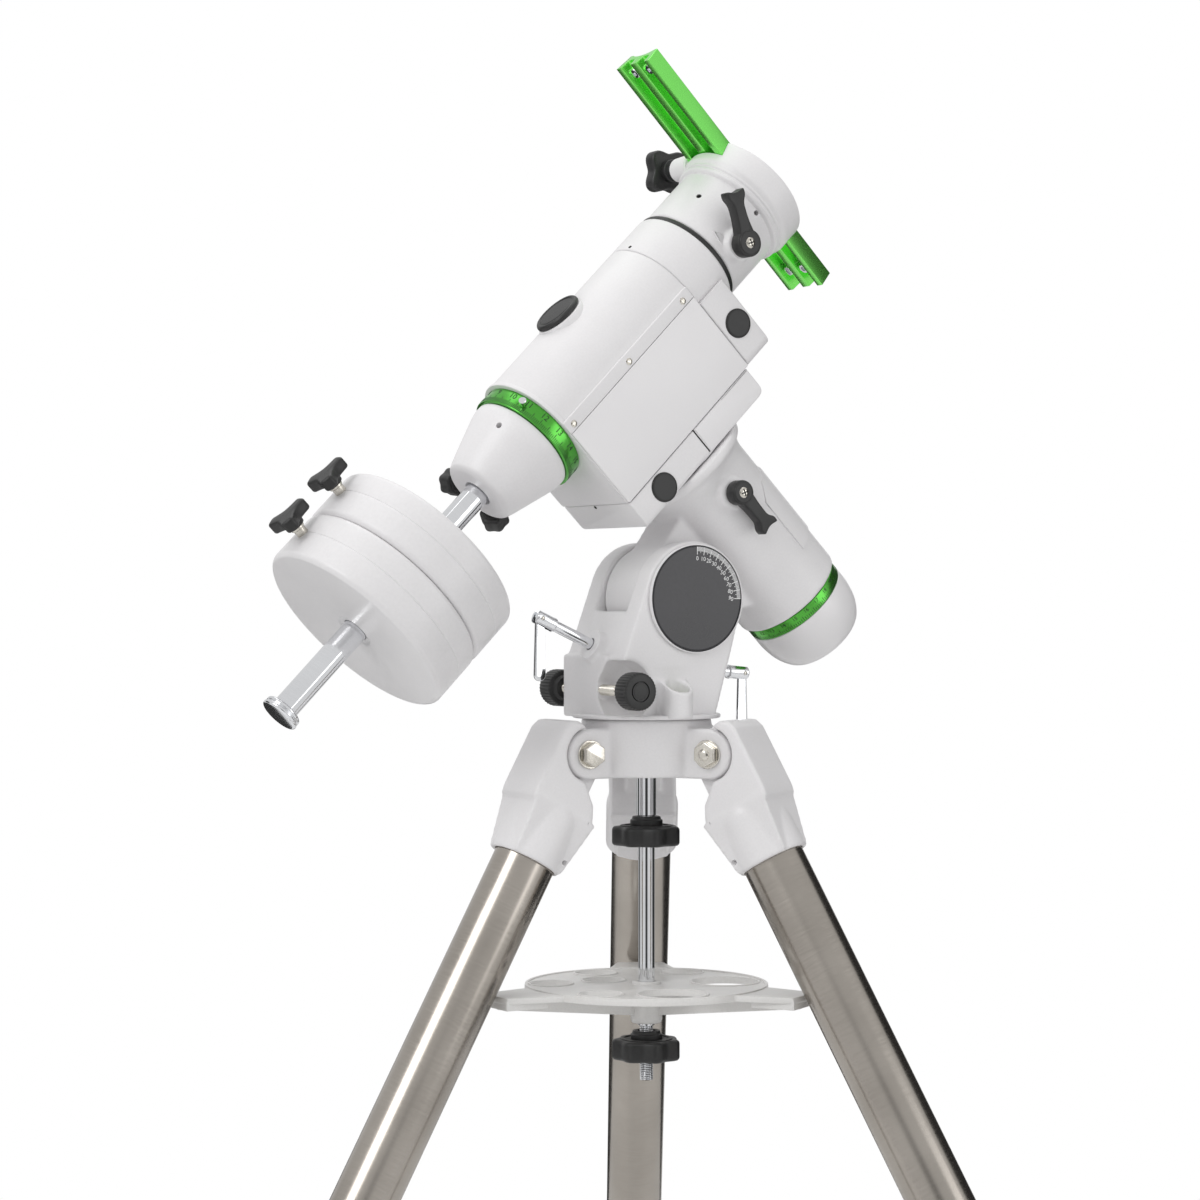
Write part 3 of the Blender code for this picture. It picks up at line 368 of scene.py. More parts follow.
def cross_screw(radius, height):
    """A round screw head with a cross recess; its seat is at z 0."""
    dome = [(0, height), (radius * 0.45, height * 0.94), (radius * 0.8, height * 0.66)]
    dome += [(radius, height * 0.2), (radius, 0), (0, 0)]
    arms = [(-radius * 0.62, radius * 0.62), (-radius * 0.13, radius * 0.13)]
    high = (height * 0.42, height + 1)
    head = lathe(dome, radius * 0.1, 32, steps=3)
    return cut(head, joined(block(*arms, high, 0.1, 0.02), block(*arms[::-1], high, 0.1, 0.02)))


def socket_screw(radius, height):
    """A cylinder head with a hexagon socket; its seat is at z 0."""
    head = rod((0, 0, 0), (0, 0, height), radius, edge=0.4, sides=32)
    return cut(head, hexagon(radius * 1.0, height * 0.35, height + 2))


def lettering(body, size):
    """Printed characters, centred on the origin and a hair thick."""
    curve = bpy.data.curves.new("text", "FONT")
    curve.body = body
    curve.size = size
    curve.align_x = "CENTER"
    curve.align_y = "CENTER"
    curve.resolution_u = 3
    curve.extrude = 0.06
    drawn = bpy.data.objects.new("text", curve)
    bpy.context.scene.collection.objects.link(drawn)
    bpy.context.view_layer.update()
    graph = bpy.context.evaluated_depsgraph_get()
    mesh = bpy.data.meshes.new_from_object(drawn.evaluated_get(graph))
    bpy.data.objects.remove(drawn)
    bm = bmesh.new()
    bm.from_mesh(mesh)
    bmesh.ops.remove_doubles(bm, verts=bm.verts, dist=0.0005)
    return shape_of(bm)


def dashes(places):
    """Small flat bars; each place is a matrix and a size."""
    bm = bmesh.new()
    for matrix, size in places:
        bmesh.ops.create_cube(bm, size=1.0, matrix=matrix @ Matrix.Diagonal((*size, 1.0)))
    return shape_of(bm)


def bent_plate(radius, thick, half_angle, low, high, chamfer, columns=48, rows=12):
    """A cover plate round a barrel, about the x axis, with its upper corners cut off."""
    bm = bmesh.new()
    grids = []
    for r in (radius, radius - thick):
        grid = []
        for i in range(columns + 1):
            a = math.radians(half_angle) * (2 * i / columns - 1)
            near_edge = max(0.0, chamfer - radius * (math.radians(half_angle) - abs(a)))
            top = high - near_edge
            heights = [low + (top - low) * k / rows for k in range(rows + 1)]
            grid.append([bm.verts.new((r * math.cos(a), r * math.sin(a), z)) for z in heights])
        grids.append(grid)
    outer, inner = grids
    for i in range(columns):
        for k in range(rows):
            for g in grids:
                bm.faces.new((g[i][k], g[i + 1][k], g[i + 1][k + 1], g[i][k + 1]))
        for k in (0, rows):
            bm.faces.new((outer[i][k], outer[i + 1][k], inner[i + 1][k], inner[i][k]))
    for i in (0, columns):
        for k in range(rows):
            bm.faces.new((outer[i][k], outer[i][k + 1], inner[i][k + 1], inner[i][k]))
    return shape_of(bm)


# --- materials --------------------------------------------------------------------------------------
def add_node(nodes, links, kind, settings, wires):
    """Adds a node, with its settings by input name and its wires from other nodes' outputs."""
    node = nodes.new(kind)
    for name, value in settings.items():
        node.inputs[name].default_value = value
    for name, source in wires.items():
        links.new(source, node.inputs[name])
    return node


def finish(name, light, dark, rough, metal=0.0, grain=900.0, stretch=(1, 1, 1), relief=0.1, patch=18.0,
           coat=0.0, clear=0.0, depth=0.0002):
    """A material whose colour drifts between two values, with fine grain in its gloss and relief."""
    material = bpy.data.materials.new(name)
    material.use_nodes = True
    nodes, links = material.node_tree.nodes, material.node_tree.links
    shader = nodes["Principled BSDF"]
    constants = {"Metallic": metal, "Coat Weight": coat, "Coat Roughness": 0.12, "Transmission Weight": clear}
    for socket, value in constants.items():
        shader.inputs[socket].default_value = value
    where = nodes.new("ShaderNodeTexCoord").outputs["Object"]

    def add(kind, settings, wires):
        return add_node(nodes, links, kind, settings, wires)

    mapped = add("ShaderNodeMapping", {"Scale": stretch}, {"Vector": where})
    fine = add("ShaderNodeTexNoise", {"Scale": grain, "Detail": 4.0}, {"Vector": mapped.outputs["Vector"]})
    broad = add("ShaderNodeTexNoise", {"Scale": patch, "Detail": 3.0}, {"Vector": where})
    half = add("ShaderNodeMath", {1: 0.55}, {0: broad.outputs["Fac"]})
    half.operation = "MULTIPLY"
    blend = add("ShaderNodeMath", {1: 0.45}, {0: fine.outputs["Fac"], 2: half.outputs["Value"]})
    blend.operation = "MULTIPLY_ADD"
    ramp = add("ShaderNodeValToRGB", {}, {"Fac": blend.outputs["Value"]})
    for element, place, colour in zip(ramp.color_ramp.elements, (0.36, 0.64), (dark, light)):
        element.position = place
        element.color = (*colour, 1.0)
    links.new(ramp.outputs["Color"], shader.inputs["Base Color"])
    limits = {"From Min": 0.3, "From Max": 0.7, "To Min": rough[0], "To Max": rough[1]}
    gloss = add("ShaderNodeMapRange", limits, {"Value": fine.outputs["Fac"]})
    links.new(gloss.outputs["Result"], shader.inputs["Roughness"])
    bump = add("ShaderNodeBump", {"Strength": relief, "Distance": depth}, {"Height": fine.outputs["Fac"]})
    links.new(bump.outputs["Normal"], shader.inputs["Normal"])
    return material


def grey(value, tint=(1.0, 1.0, 1.0)):
    return tuple(value * t for t in tint)


PAINT_TINT = (1.0, 0.985, 0.995)
CASTING = finish("white_powder_coat", grey(0.80, PAINT_TINT), grey(0.755, PAINT_TINT), (0.38, 0.5),
                 grain=650.0, relief=0.16, coat=0.15)
IRON = finish("white_leather_grain_coat", grey(0.79, PAINT_TINT), grey(0.745, PAINT_TINT), (0.32, 0.5),
              grain=420.0, relief=0.3, coat=0.2)
SHELL = finish("white_moulded_plastic", grey(0.81, PAINT_TINT), grey(0.78, PAINT_TINT), (0.3, 0.38),
               grain=1500.0, relief=0.05, coat=0.1)
TRAY = finish("white_tray_plastic", (0.76, 0.75, 0.735), (0.70, 0.69, 0.675), (0.3, 0.42),
              grain=700.0, relief=0.06)
STAINLESS = finish("brushed_stainless", (0.46, 0.425, 0.385), (0.37, 0.34, 0.305), (0.17, 0.27), 1.0,
                   grain=60.0, stretch=(1, 1, 60), relief=0.05)
CHROME = finish("polished_chrome", (0.84, 0.85, 0.87), (0.78, 0.79, 0.81), (0.05, 0.1), 1.0,
                grain=90.0, stretch=(1, 1, 25), relief=0.003)
NICKEL = finish("warm_nickel", (0.74, 0.71, 0.65), (0.62, 0.59, 0.53), (0.16, 0.28), 1.0, relief=0.05)
BLACK = finish("black_moulded_plastic", grey(0.022), grey(0.012), (0.36, 0.5), grain=1100.0, relief=0.22)
GREEN = finish("green_anodised", (0.26, 0.92, 0.17), (0.24, 0.87, 0.15), (0.2, 0.26), 0.92,
               grain=160.0, stretch=(1, 30, 30), relief=0.003, coat=0.1)
RING_GREEN = finish("green_anodised_ring", (0.10, 0.46, 0.06), (0.08, 0.40, 0.045), (0.18, 0.26), 0.9,
                    grain=90.0, stretch=(1, 1, 40), relief=0.006, coat=0.2)
STEEL = finish("turned_steel", (0.56, 0.56, 0.57), (0.46, 0.46, 0.47), (0.25, 0.4), 1.0,
               grain=60.0, stretch=(1, 1, 40), relief=0.08)
MOTOR = finish("black_motor_paint", grey(0.05), grey(0.03), (0.4, 0.55), relief=0.15)
DIAL_BLACK = finish("black_dial_lacquer", (0.022, 0.021, 0.026), (0.012, 0.012, 0.015), (0.16, 0.22),
                    grain=300.0, relief=0.003)
PRINT_WHITE = finish("white_print", grey(0.86), grey(0.8), (0.4, 0.5), relief=0.02)
PRINT_DARK = finish("dark_engraving", (0.012, 0.05, 0.012), (0.006, 0.03, 0.006), (0.5, 0.6), relief=0.02)
# Painted shade: a matte near-black put in seams and small holes where shade falls; it also colours the grub
# screws deep in the saddle's holes.
SHADOW = finish("painted_shade_black", grey(0.012), grey(0.006), (0.7, 0.8), relief=0.05)
RUBBER = finish("black_rubber", grey(0.035), grey(0.022), (0.65, 0.8), grain=500.0, relief=0.3)
VIAL = finish("vial_fluid", (0.62, 0.85, 0.30), (0.55, 0.78, 0.24), (0.05, 0.1), relief=0.01, clear=0.5,
              coat=0.5)


def piece(name, shape, where, body, material, node=None, sharp=35.0):
    """Finishes a shape made in millimetres: places it and hands it to the frame."""
    shape.name = name
    shape.data.name = name
    shape.data.transform(Matrix.Scale(MM, 4))
    shape.matrix_world = where
    shape.data.materials.clear()
    shape.data.materials.append(material)
    shape.data.shade_smooth()
    shape.data.set_sharp_from_angle(angle=math.radians(sharp))
    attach(shape, body)
    if node:
        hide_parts(node)
    return shape


# --- tripod -----------------------------------------------------------------------------------------
def make_hub():
    top = [(8, 0), (HUB_R, 0, 2), (HUB_R, -HUB_H, 2), (34, -HUB_H), (33, -13, 3), (8, -13)]
    ear = [(20, -PIVOT_DROP + EAR_R)]
    ear += arc(PIVOT_R, -PIVOT_DROP, EAR_R, 90, -80, 14)
    ear += [(20, -HUB_H - 0.5)]
    solids = [band(top, 1.0, 96)]
    cuts = []
    for azimuth in LEGS.values():
        way = spin("Z", azimuth)
        solids.append(moved(standing(ear, -EAR_OUT, EAR_OUT, 1.6), way))
        slot = arc(PIVOT_R, -PIVOT_DROP, 19.5, 0, 180, 14)
        slot += [(PIVOT_R - 19.5, -HUB_H - 6), (PIVOT_R + 19.5, -HUB_H - 6)]
        cuts.append(moved(standing(slot, -EAR_IN, EAR_IN, 0.3), way))
    piece("tripod_hub_casting", cast(solids, cuts, 1.1, 5), TRIPOD, "tripod", CASTING, "tripod_hub")


def make_leg_bolt(leg):
    """A hexagon bolt with a washer, and a nut on its domed threaded end."""
    out = EAR_OUT + 0.2
    washers = [rod((0, s * out, 0), (0, s * (out + 1.6), 0), 10.2, edge=0.4) for s in (-1, 1)]
    head = moved(hexagon(15.6, out + 1.6, out + 7.6), spin("X", -90))
    nut = moved(hexagon(15.6, out + 1.6, out + 6.2), spin("X", 90))
    dome = [(0, out + 8.3), (2.6, out + 7.9), (4.3, out + 6.9), (4.3, out + 5.5), (0, out + 5.5)]
    end = moved(lathe(dome, 0.5, 32), spin("X", 90))
    shank = rod((0, -out - 5, 0), (0, out + 3, 0), BOLT_R - 0.2)
    piece(f"leg_bolt_set_{leg}", joined(head, nut, end, shank, *washers), leg_frame(leg), "tripod",
          NICKEL, f"leg_bolt_{leg}")


def bracket_shape():
    """The casting at the top of a leg: a tongue between the ears, shoulders round them, and a socket."""
    tongue = [(-17.5, -44), (-17.5, 0)]
    tongue += arc(0, 0, 17.5, 170, 90, 8)
    tongue += [(20, 16.5), (27, 12), (29, 6), (28, -44)]
    wrap = [(28, -47), (29, -40), (29, 6), (26.5, 12.5), (21, 16)]
    wrap += arc(0, 0, 19.8, 52, -104, 18)
    wrap += [(-19, -31), (-23.5, -40), (-24, -47)]
    socket = [(0, -34), (17, -34), (24, -40, 4), (SOCKET_R, -48, 3), (SOCKET_R, SOCKET_END + 1, 1)]
    socket += [(SOCKET_R - 1.2, SOCKET_END), (0, SOCKET_END)]
    squash = Matrix.Diagonal((25 / SOCKET_R, 1, 1, 1))
    solids = [standing(tongue, 0.3 - EAR_IN, EAR_IN - 0.3, 0.6), standing(wrap, -24.5, 24.5, 2.0)]
    taper = moved(rod((0, 0, -85), (0, 0, -43), 27.5, 35.5, edge=0.2, sides=4), spin("Z", 45))
    solids += [moved(taper, Matrix.Diagonal((1.06, 1, 1, 1)))]
    solids += [moved(lathe(socket, 1.0, 80), squash)]
    cuts = [rod((0, 0, SOCKET_END - 3), (0, 0, TUBE_TOP + 1), TUBE_R + 0.35)]
    cuts += [rod((0, -30, 0), (0, 30, 0), BOLT_R + 0.5)]
    body = cast(solids, cuts, 1.05, 5)
    holes = []
    for side in (-1, 1):
        for z in (-44, -76):
            way = Vector((math.cos(math.radians(180 + side * 48)),
                          math.sin(math.radians(180 + side * 48)), 0))
            holes.append(rod(way * 22 + Vector((0, 0, z)), way * 32 + Vector((0, 0, z)), 1.9,
                             edge=0.05, sides=20))
    return cut(body, *holes)


def make_legs():
    bracket = bracket_shape()
    tube = [(TUBE_R - 0.6, TUBE_TOP), (TUBE_R, TUBE_TOP - 0.6), (TUBE_R, TUBE_END + 0.6),
            (TUBE_R - 0.6, TUBE_END)]
    tube += [(TUBE_BORE, TUBE_END), (TUBE_BORE, TUBE_TOP)]
    collar = [(TUBE_R + 0.4, CLAMP_TOP), (25, CLAMP_TOP, 1.5), (CLAMP_R, CLAMP_TOP - 9, 4)]
    collar += [(CLAMP_R, -800, 1), (CLAMP_R - 1.2, -801.5, 0.5), (CLAMP_R - 1.2, -804, 0.5),
               (CLAMP_R, -805.5, 1)]
    collar += [(CLAMP_R, CLAMP_END + 5, 3), (CLAMP_R - 4, CLAMP_END, 2), (INNER_R + 0.5, CLAMP_END)]
    collar += [(INNER_R + 0.5, TUBE_END - 2), (TUBE_R + 0.4, TUBE_END - 2)]
    inner = [(INNER_R, INNER_TOP), (INNER_R, INNER_END), (INNER_BORE, INNER_END), (INNER_BORE, INNER_TOP)]
    foot = [(0, INNER_END + 8), (INNER_BORE, INNER_END + 8), (INNER_BORE, INNER_END),
            (FOOT_R - 1, INNER_END, 1)]
    foot += [(FOOT_R, INNER_END - 4, 2), (FOOT_R, INNER_END - 8, 1), (FOOT_R - 1.5, INNER_END - 9, 0.6)]
    foot += [(FOOT_R - 1.5, INNER_END - 11, 0.6), (FOOT_R, INNER_END - 12, 1), (FOOT_R, INNER_END - 15, 3)]
    foot += [(17, FOOT_END, 3), (0, FOOT_END)]
    for leg in LEGS:
        where = leg_frame(leg)
        body = f"leg_{leg}"
        make_leg_bolt(leg)
        piece(f"leg_bracket_casting_{leg}", twin(bracket), where, body, CASTING, f"leg_bracket_{leg}")
        piece(f"leg_outer_tube_{leg}", band(tube, 0.3, 96), where, body, STAINLESS, f"leg_tube_{leg}")
        boss = rod((20, 0, CLAMP_SCREW_Z), (39, 0, CLAMP_SCREW_Z), 12, 10.5, edge=1.2)
        piece(f"leg_clamp_collar_{leg}", joined(band(collar, 0.8, 96), boss), where, body, CASTING,
              f"leg_clamp_{leg}")
        piece(f"leg_inner_tube_{leg}", turned(inner, 80, ring=True), where, f"extension_{leg}",
              STAINLESS, f"leg_extension_{leg}")
        rubber = lathe(foot, 0.4, 80)
        floor = where.inverted()
        bm = bmesh.new()
        bm.from_mesh(rubber.data)
        bpy.data.objects.remove(rubber)
        cutting = bmesh.ops.bisect_plane(bm, geom=bm.verts[:] + bm.edges[:] + bm.faces[:],
                                         plane_co=(floor @ Vector((0, 0, 0))) / MM,
                                         plane_no=floor.to_3x3() @ -Z, clear_outer=True)
        rim = [e for e in cutting["geom_cut"] if isinstance(e, bmesh.types.BMEdge)]
        bmesh.ops.contextual_create(bm, geom=rim)
        piece(f"leg_foot_{leg}", shape_of(bm), where, f"extension_{leg}", RUBBER)
        wheel = slab(lobed(16, 2.6, 5), 44, 57, 2.0)
        hub = lathe([(0, 58.5), (6, 58.5), (7, 56), (8, 40, 1), (0, 39.5)], 0.8, 40)
        screw = turn_frame(f"clamp_screw_turn_{leg}", Y)
        piece(f"clamp_knob_{leg}", joined(wheel, hub), screw, f"clamp_screw_{leg}", BLACK,
              f"clamp_screw_{leg}")
        piece(f"clamp_stud_{leg}", threaded(4, INNER_R + 0.6, 42), screw, f"clamp_screw_{leg}", CHROME)
    bpy.data.objects.remove(bracket)


def star_knob(top, wheel, collar_r, collar_end):
    """A bored star knob: a seven-lobed wheel under a round collar."""
    rim = slab(lobed(KNOB_R, 3.2, 7, 12), top - wheel[1], top - wheel[0], 2.6,
               [arc(0, 0, 6.6, 0, 350, 35)[::-1]])
    collar = [(6.6, top - 1), (collar_r - 1.6, top - 1, 0.6), (collar_r - 1.2, top - 3, 0.5)]
    collar += [(collar_r, top - 3.6, 0.5), (collar_r, top - collar_end), (6.6, top - collar_end)]
    ridge = [(19, top - wheel[0] - 1), (19, top - wheel[0] + 0.7, 0.5), (16, top - wheel[0] + 0.7, 0.5)]
    ridge += [(16, top - wheel[0] - 1)]
    return joined(rim, band(collar, 0.4, 64), band(ridge, 0.3, 72))


def make_rod():
    smooth = [(0, -2), (ROD_TOP_R - 0.6, -2), (ROD_TOP_R, -2.6), (ROD_TOP_R, ROD_KNOB_Z)]
    smooth += [(ROD_R, ROD_KNOB_Z - 0.5), (ROD_R, TRAY_KNOB_Z + 3), (ROD_THREAD_R - 0.5, TRAY_KNOB_Z + 2)]
    smooth += [(0, TRAY_KNOB_Z + 2)]
    threads = [threaded(ROD_THREAD_R, -3, ROD_TOP), threaded(ROD_THREAD_R, ROD_END, TRAY_KNOB_Z + 3)]
    piece("centre_rod", joined(turned(smooth, 64), *threads), TRIPOD, "fixing_rod", CHROME, "fixing_rod")
    piece("centre_rod_knob", star_knob(ROD_KNOB_Z, (8, 22), 11.75, 9), TRIPOD, "fixing_rod", BLACK,
          "rod_knob")
    piece("tray_star_knob", star_knob(TRAY_KNOB_Z, (7, 22), 11.5, 8), TRIPOD, "tray_knob", BLACK,
          "tray_knob")


def make_tray():
    wide, tip = 17.0, 8.0
    outline = []
    for azimuth in sorted(LEGS.values()):
        outline += arc(0, 0, TRAY_R, azimuth - 103, azimuth - wide - 2, 26)
        outline += arc(0, 0, TRAY_R, azimuth - wide, azimuth, 1)[:1]
        outline += arc(0, 0, TRAY_REACH, azimuth - tip, azimuth + tip, 4)
        outline += arc(0, 0, TRAY_R, azimuth + wide, azimuth, 1)[:1]
    outline = rounded(outline, 2.5, steps=2)
    holes = []
    lips = []
    for distance, azimuth, radius in TRAY_HOLES:
        a = math.radians(azimuth)
        x, y = distance * math.cos(a), distance * math.sin(a)
        holes.append(arc(x, y, radius, 0, 354, 59)[::-1])
        lip = [(radius + 1.7, TRAY_Z - 0.4), (radius + 1.7, TRAY_Z + 0.9, 0.5),
               (radius + 0.1, TRAY_Z + 0.9, 0.5)]
        lip += [(radius + 0.1, TRAY_Z - 0.4)]
        lips.append(moved(band(lip, 0.3, 60), shift(x, y)))
    plate = slab(outline, TRAY_Z - TRAY_T, TRAY_Z, 0.8, holes)
    lip = [(TRAY_R - 0.2, TRAY_Z - 0.4), (TRAY_R - 0.2, TRAY_Z + 0.9, 0.6),
           (TRAY_R - 2.4, TRAY_Z + 0.9, 0.6)]
    lip += [(TRAY_R - 2.4, TRAY_Z - 0.4)]
    rim = band(lip, 0.3, 120)
    boss = [(6.7, TRAY_Z + 2.2), (10, TRAY_Z + 2.2, 1), (11, TRAY_Z - 1, 2), (11.5, TRAY_Z - 25, 1)]
    boss += [(10.5, TRAY_Z - 28, 1), (6.7, TRAY_Z - 28)]
    parts = [plate, rim, band(boss, 0.6, 64), *lips]
    for azimuth in LEGS.values():
        way = spin("Z", azimuth)
        rib = [(8, TRAY_Z - 1), (TRAY_REACH - 3, TRAY_Z - 1), (TRAY_REACH - 3.5, TRAY_Z - 10),
               (10, TRAY_Z - 22)]
        parts.append(moved(standing(rounded(rib, 0.8), -1.6, 1.6, 0.5), way))
        for side in (-1, 1):
            wall = block((92, TRAY_REACH - 1.5), (side * 16.4 - 1.1, side * 16.4 + 1.1),
                         (TRAY_Z - 9, TRAY_Z - 2), 0.8, 0.5)
            parts.append(moved(wall, way))
        end = block((TRAY_REACH - 3.2, TRAY_REACH - 1.0), (-17.4, 17.4), (TRAY_Z - 9, TRAY_Z - 2), 0.8, 0.5)
        parts.append(moved(end, way))
    piece("eyepiece_tray", joined(*parts), TRIPOD, "tray", TRAY, "accessory_tray")


# --- mount base -------------------------------------------------------------------------------------
def bolt_way(bolt):
    rise = math.radians(bolt[2])
    return Vector((math.copysign(math.cos(rise), bolt[0]), 0, math.sin(rise)))


def bolt_point(bolt, out):
    return Vector((bolt[0], 0, bolt[1])) + bolt_way(bolt) * out


def make_base():
    arm = arc(TILT_X, TILT_Z, ARM_TOP_R, 163, -4, 30)
    arm += [(48, 50), (34, BASE_T - 1), (-44, BASE_T - 1), (-43.5, 43)]
    solids = [standing(arm, ARM_IN, ARM_OUT, 1.2), standing(arm, -ARM_OUT, -ARM_IN, 1.2)]
    core = [(-43, BASE_T - 1), (-42.8, 43), (-30.5, 77), (-24, 77)]
    core += arc(TILT_X, TILT_Z, CRADLE_R, 195, 305, 24)
    core += [(46, 51), (33, BASE_T - 1)]
    solids += [standing(core, -ARM_IN - 2, ARM_IN + 2, 0.6)]
    plate = [(0, BASE_T + 0.4), (BASE_R, BASE_T + 0.4, 1.4), (BASE_R, 0.3, 1.2), (0, 0.3)]
    solids += [block((-47, -20), (-ARM_IN, ARM_OUT - 0.5), (1, 46), 1.0, 1.2)]
    solids += [rod((LEVEL_X, LEVEL_Y, 1), (LEVEL_X, LEVEL_Y, LEVEL_IN + 1), LEVEL_R)]
    solids += [block((LEVEL_X - LEVEL_R, LEVEL_X + LEVEL_R), (LEVEL_Y, -ARM_IN - 6), (1, LEVEL_IN + 1),
                     1.0)]
    for bolt in (NORTH_BOLT, SOUTH_BOLT):
        solids.append(rod(bolt_point(bolt, -19), bolt_point(bolt, 0), ALT_BOSS_R + 1, ALT_BOSS_R, edge=1.5))
    recess = arc(AZ_X, AZ_Z, AZ_RECESS_R, -56, 236, 36)
    cuts = [standing(recess, -60, 0.5 - ARM_IN, 0.2)]
    cuts += [rod((AZ_X, -9, AZ_Z), (AZ_X, 0.3 - ARM_IN, AZ_Z), 8, 20.5)]
    mouth = [(0.2 - ARM_OUT, LEVEL_IN), (LEVEL_Y - LEVEL_R - 2, LEVEL_OUT - 1)]
    mouth += [(LEVEL_Y - LEVEL_R - 2, LEVEL_IN + 8), (0.2 - ARM_OUT, LEVEL_IN + 8)]
    cuts += [moved(lengthwise(mouth, -16, 16, 0.1), shift(x=LEVEL_X))]
    cuts += [rod((LEVEL_X, LEVEL_Y, 9), (LEVEL_X, LEVEL_Y, LEVEL_IN + 4), 8.3)]
    bosses = []
    for bolt in (NORTH_BOLT, SOUTH_BOLT):
        cuts.append(rod(bolt_point(bolt, -13), bolt_point(bolt, 3), ALT_R + 0.6, edge=0.1))
        ring = [(ALT_R + 0.6, 0.4), (ALT_BOSS_R - 0.4, 0.4, 1), (ALT_BOSS_R + 1.2, -20), (ALT_R + 0.6, -20)]
        facing = bolt_way(bolt).to_track_quat("Z", "Y").to_matrix().to_4x4()
        bosses.append(moved(band(ring, 0.3, 64), Matrix.Translation(bolt_point(bolt, 0)) @ facing))
    body = joined(cast(solids, cuts, 1.15, 4), lathe(plate, 1.0, 120), *bosses)
    piece("mount_base_casting", body, TRIPOD, "azimuth_base", CASTING, "mount_base")
    vial = [(0, 16), (6.5, 16, 0.5), (7.9, 14.8, 0.6), (7.9, 10.3), (0, 10.3)]
    where = TRIPOD @ Matrix.Translation((LEVEL_X * MM, LEVEL_Y * MM, 0))
    piece("bubble_level_vial", lathe(vial, 0.4, 48), where, "azimuth_base", VIAL, "bubble_level")
    bubble = [(0, 16.3), (1.6, 16.25), (2.2, 16.05), (0, 16.0)]
    piece("bubble_level_bubble", turned(bubble, 24), where, "azimuth_base", SHELL)
    ring = [(3.2, 16.02), (3.2, 16.15), (2.8, 16.15), (2.8, 16.02)]
    piece("bubble_level_ring", turned(ring, 36, ring=True), where, "azimuth_base", BLACK)


def make_dial():
    face = ARM_OUT + 0.3
    disc = [(0, face + DIAL_T), (36.5, face + DIAL_T), (38.0, face + DIAL_T - 0.4), (38.2, face), (0, face)]
    piece("latitude_dial_face", lathe(disc, 0.3, 144), DIAL, "azimuth_base", DIAL_BLACK, "latitude_dial")
    rim = [(DIAL_R, face), (DIAL_R, face + DIAL_T, 0.3), (38.1, face + DIAL_T + 0.15, 0.2), (38.1, face)]
    piece("latitude_dial_rim", band(rim, 0.2, 144), DIAL, "azimuth_base", CASTING)
    top = face + DIAL_T + 0.02
    marks = []
    numbers = []
    for degree in range(0, 91):
        long = 5.6 if degree % 10 == 0 else 4.4 if degree % 5 == 0 else 3.2
        wide = 0.5 if degree % 10 == 0 else 0.32
        way = spin("Z", 90 - degree)
        marks.append((way @ shift(37.0 - long / 2, 0, top), (long, wide, 0.08)))
        if degree % 10 == 0:
            a = math.radians(90 - degree)
            place = shift(28.6 * math.cos(a), 28.6 * math.sin(a), top) @ spin("Z", -degree * 0.25)
            numbers.append(moved(lettering(str(degree), 4.3), place))
    piece("latitude_dial_ticks", dashes(marks), DIAL, "azimuth_base", PRINT_WHITE)
    piece("latitude_dial_numbers", joined(*numbers), DIAL, "azimuth_base", PRINT_WHITE)


def make_axle():
    axle = rod((0, 0, 1 - ARM_OUT), (0, 0, ARM_OUT - 0.5), AXLE_R)
    washer = rod((0, 0, -ARM_OUT - 2), (0, 0, -ARM_OUT - 0.3), 14, edge=0.3)
    nut = hexagon(21, -ARM_OUT - 8, -ARM_OUT - 2)
    end = rod((0, 0, -ARM_OUT - 9), (0, 0, -ARM_OUT - 1), 6, edge=0.8)
    piece("latitude_axle_and_nut", joined(axle, washer, nut, end), DIAL, "azimuth_base", NICKEL,
          "latitude_axle")


def make_azimuth_knobs():
    for side in ("west", "east"):
        where = turn_frame(f"azimuth_knob_turn_{side}")
        far = AZ_KNOB_Y + AZ_KNOB_L
        wheel = slab(lobed(AZ_KNOB_R, 0.45, 36, 5), AZ_KNOB_Y, far - 0.4, 1.6)
        groove = [(7.4, far + 1), (7.4, far - 1.6), (6.5, far - 1.6), (6.5, far + 1)]
        wheel = cut(wheel, turned(groove, 48, ring=True))
        cap = lathe([(0, far), (5.6, far - 0.1), (6.2, far - 1.4), (0, far - 1.4)], 0.4, 48)
        collar = rod((0, 0, AZ_KNOB_Y - 2.5), (0, 0, AZ_KNOB_Y + 1), 8.5, 10, edge=0.5)
        piece(f"azimuth_knob_grip_{side}", joined(wheel, cap, collar), where, f"azimuth_knob_{side}",
              BLACK, f"azimuth_knob_{side}")
        piece(f"azimuth_screw_{side}", threaded(4, 4, AZ_KNOB_Y - 1), where, f"azimuth_knob_{side}", NICKEL)


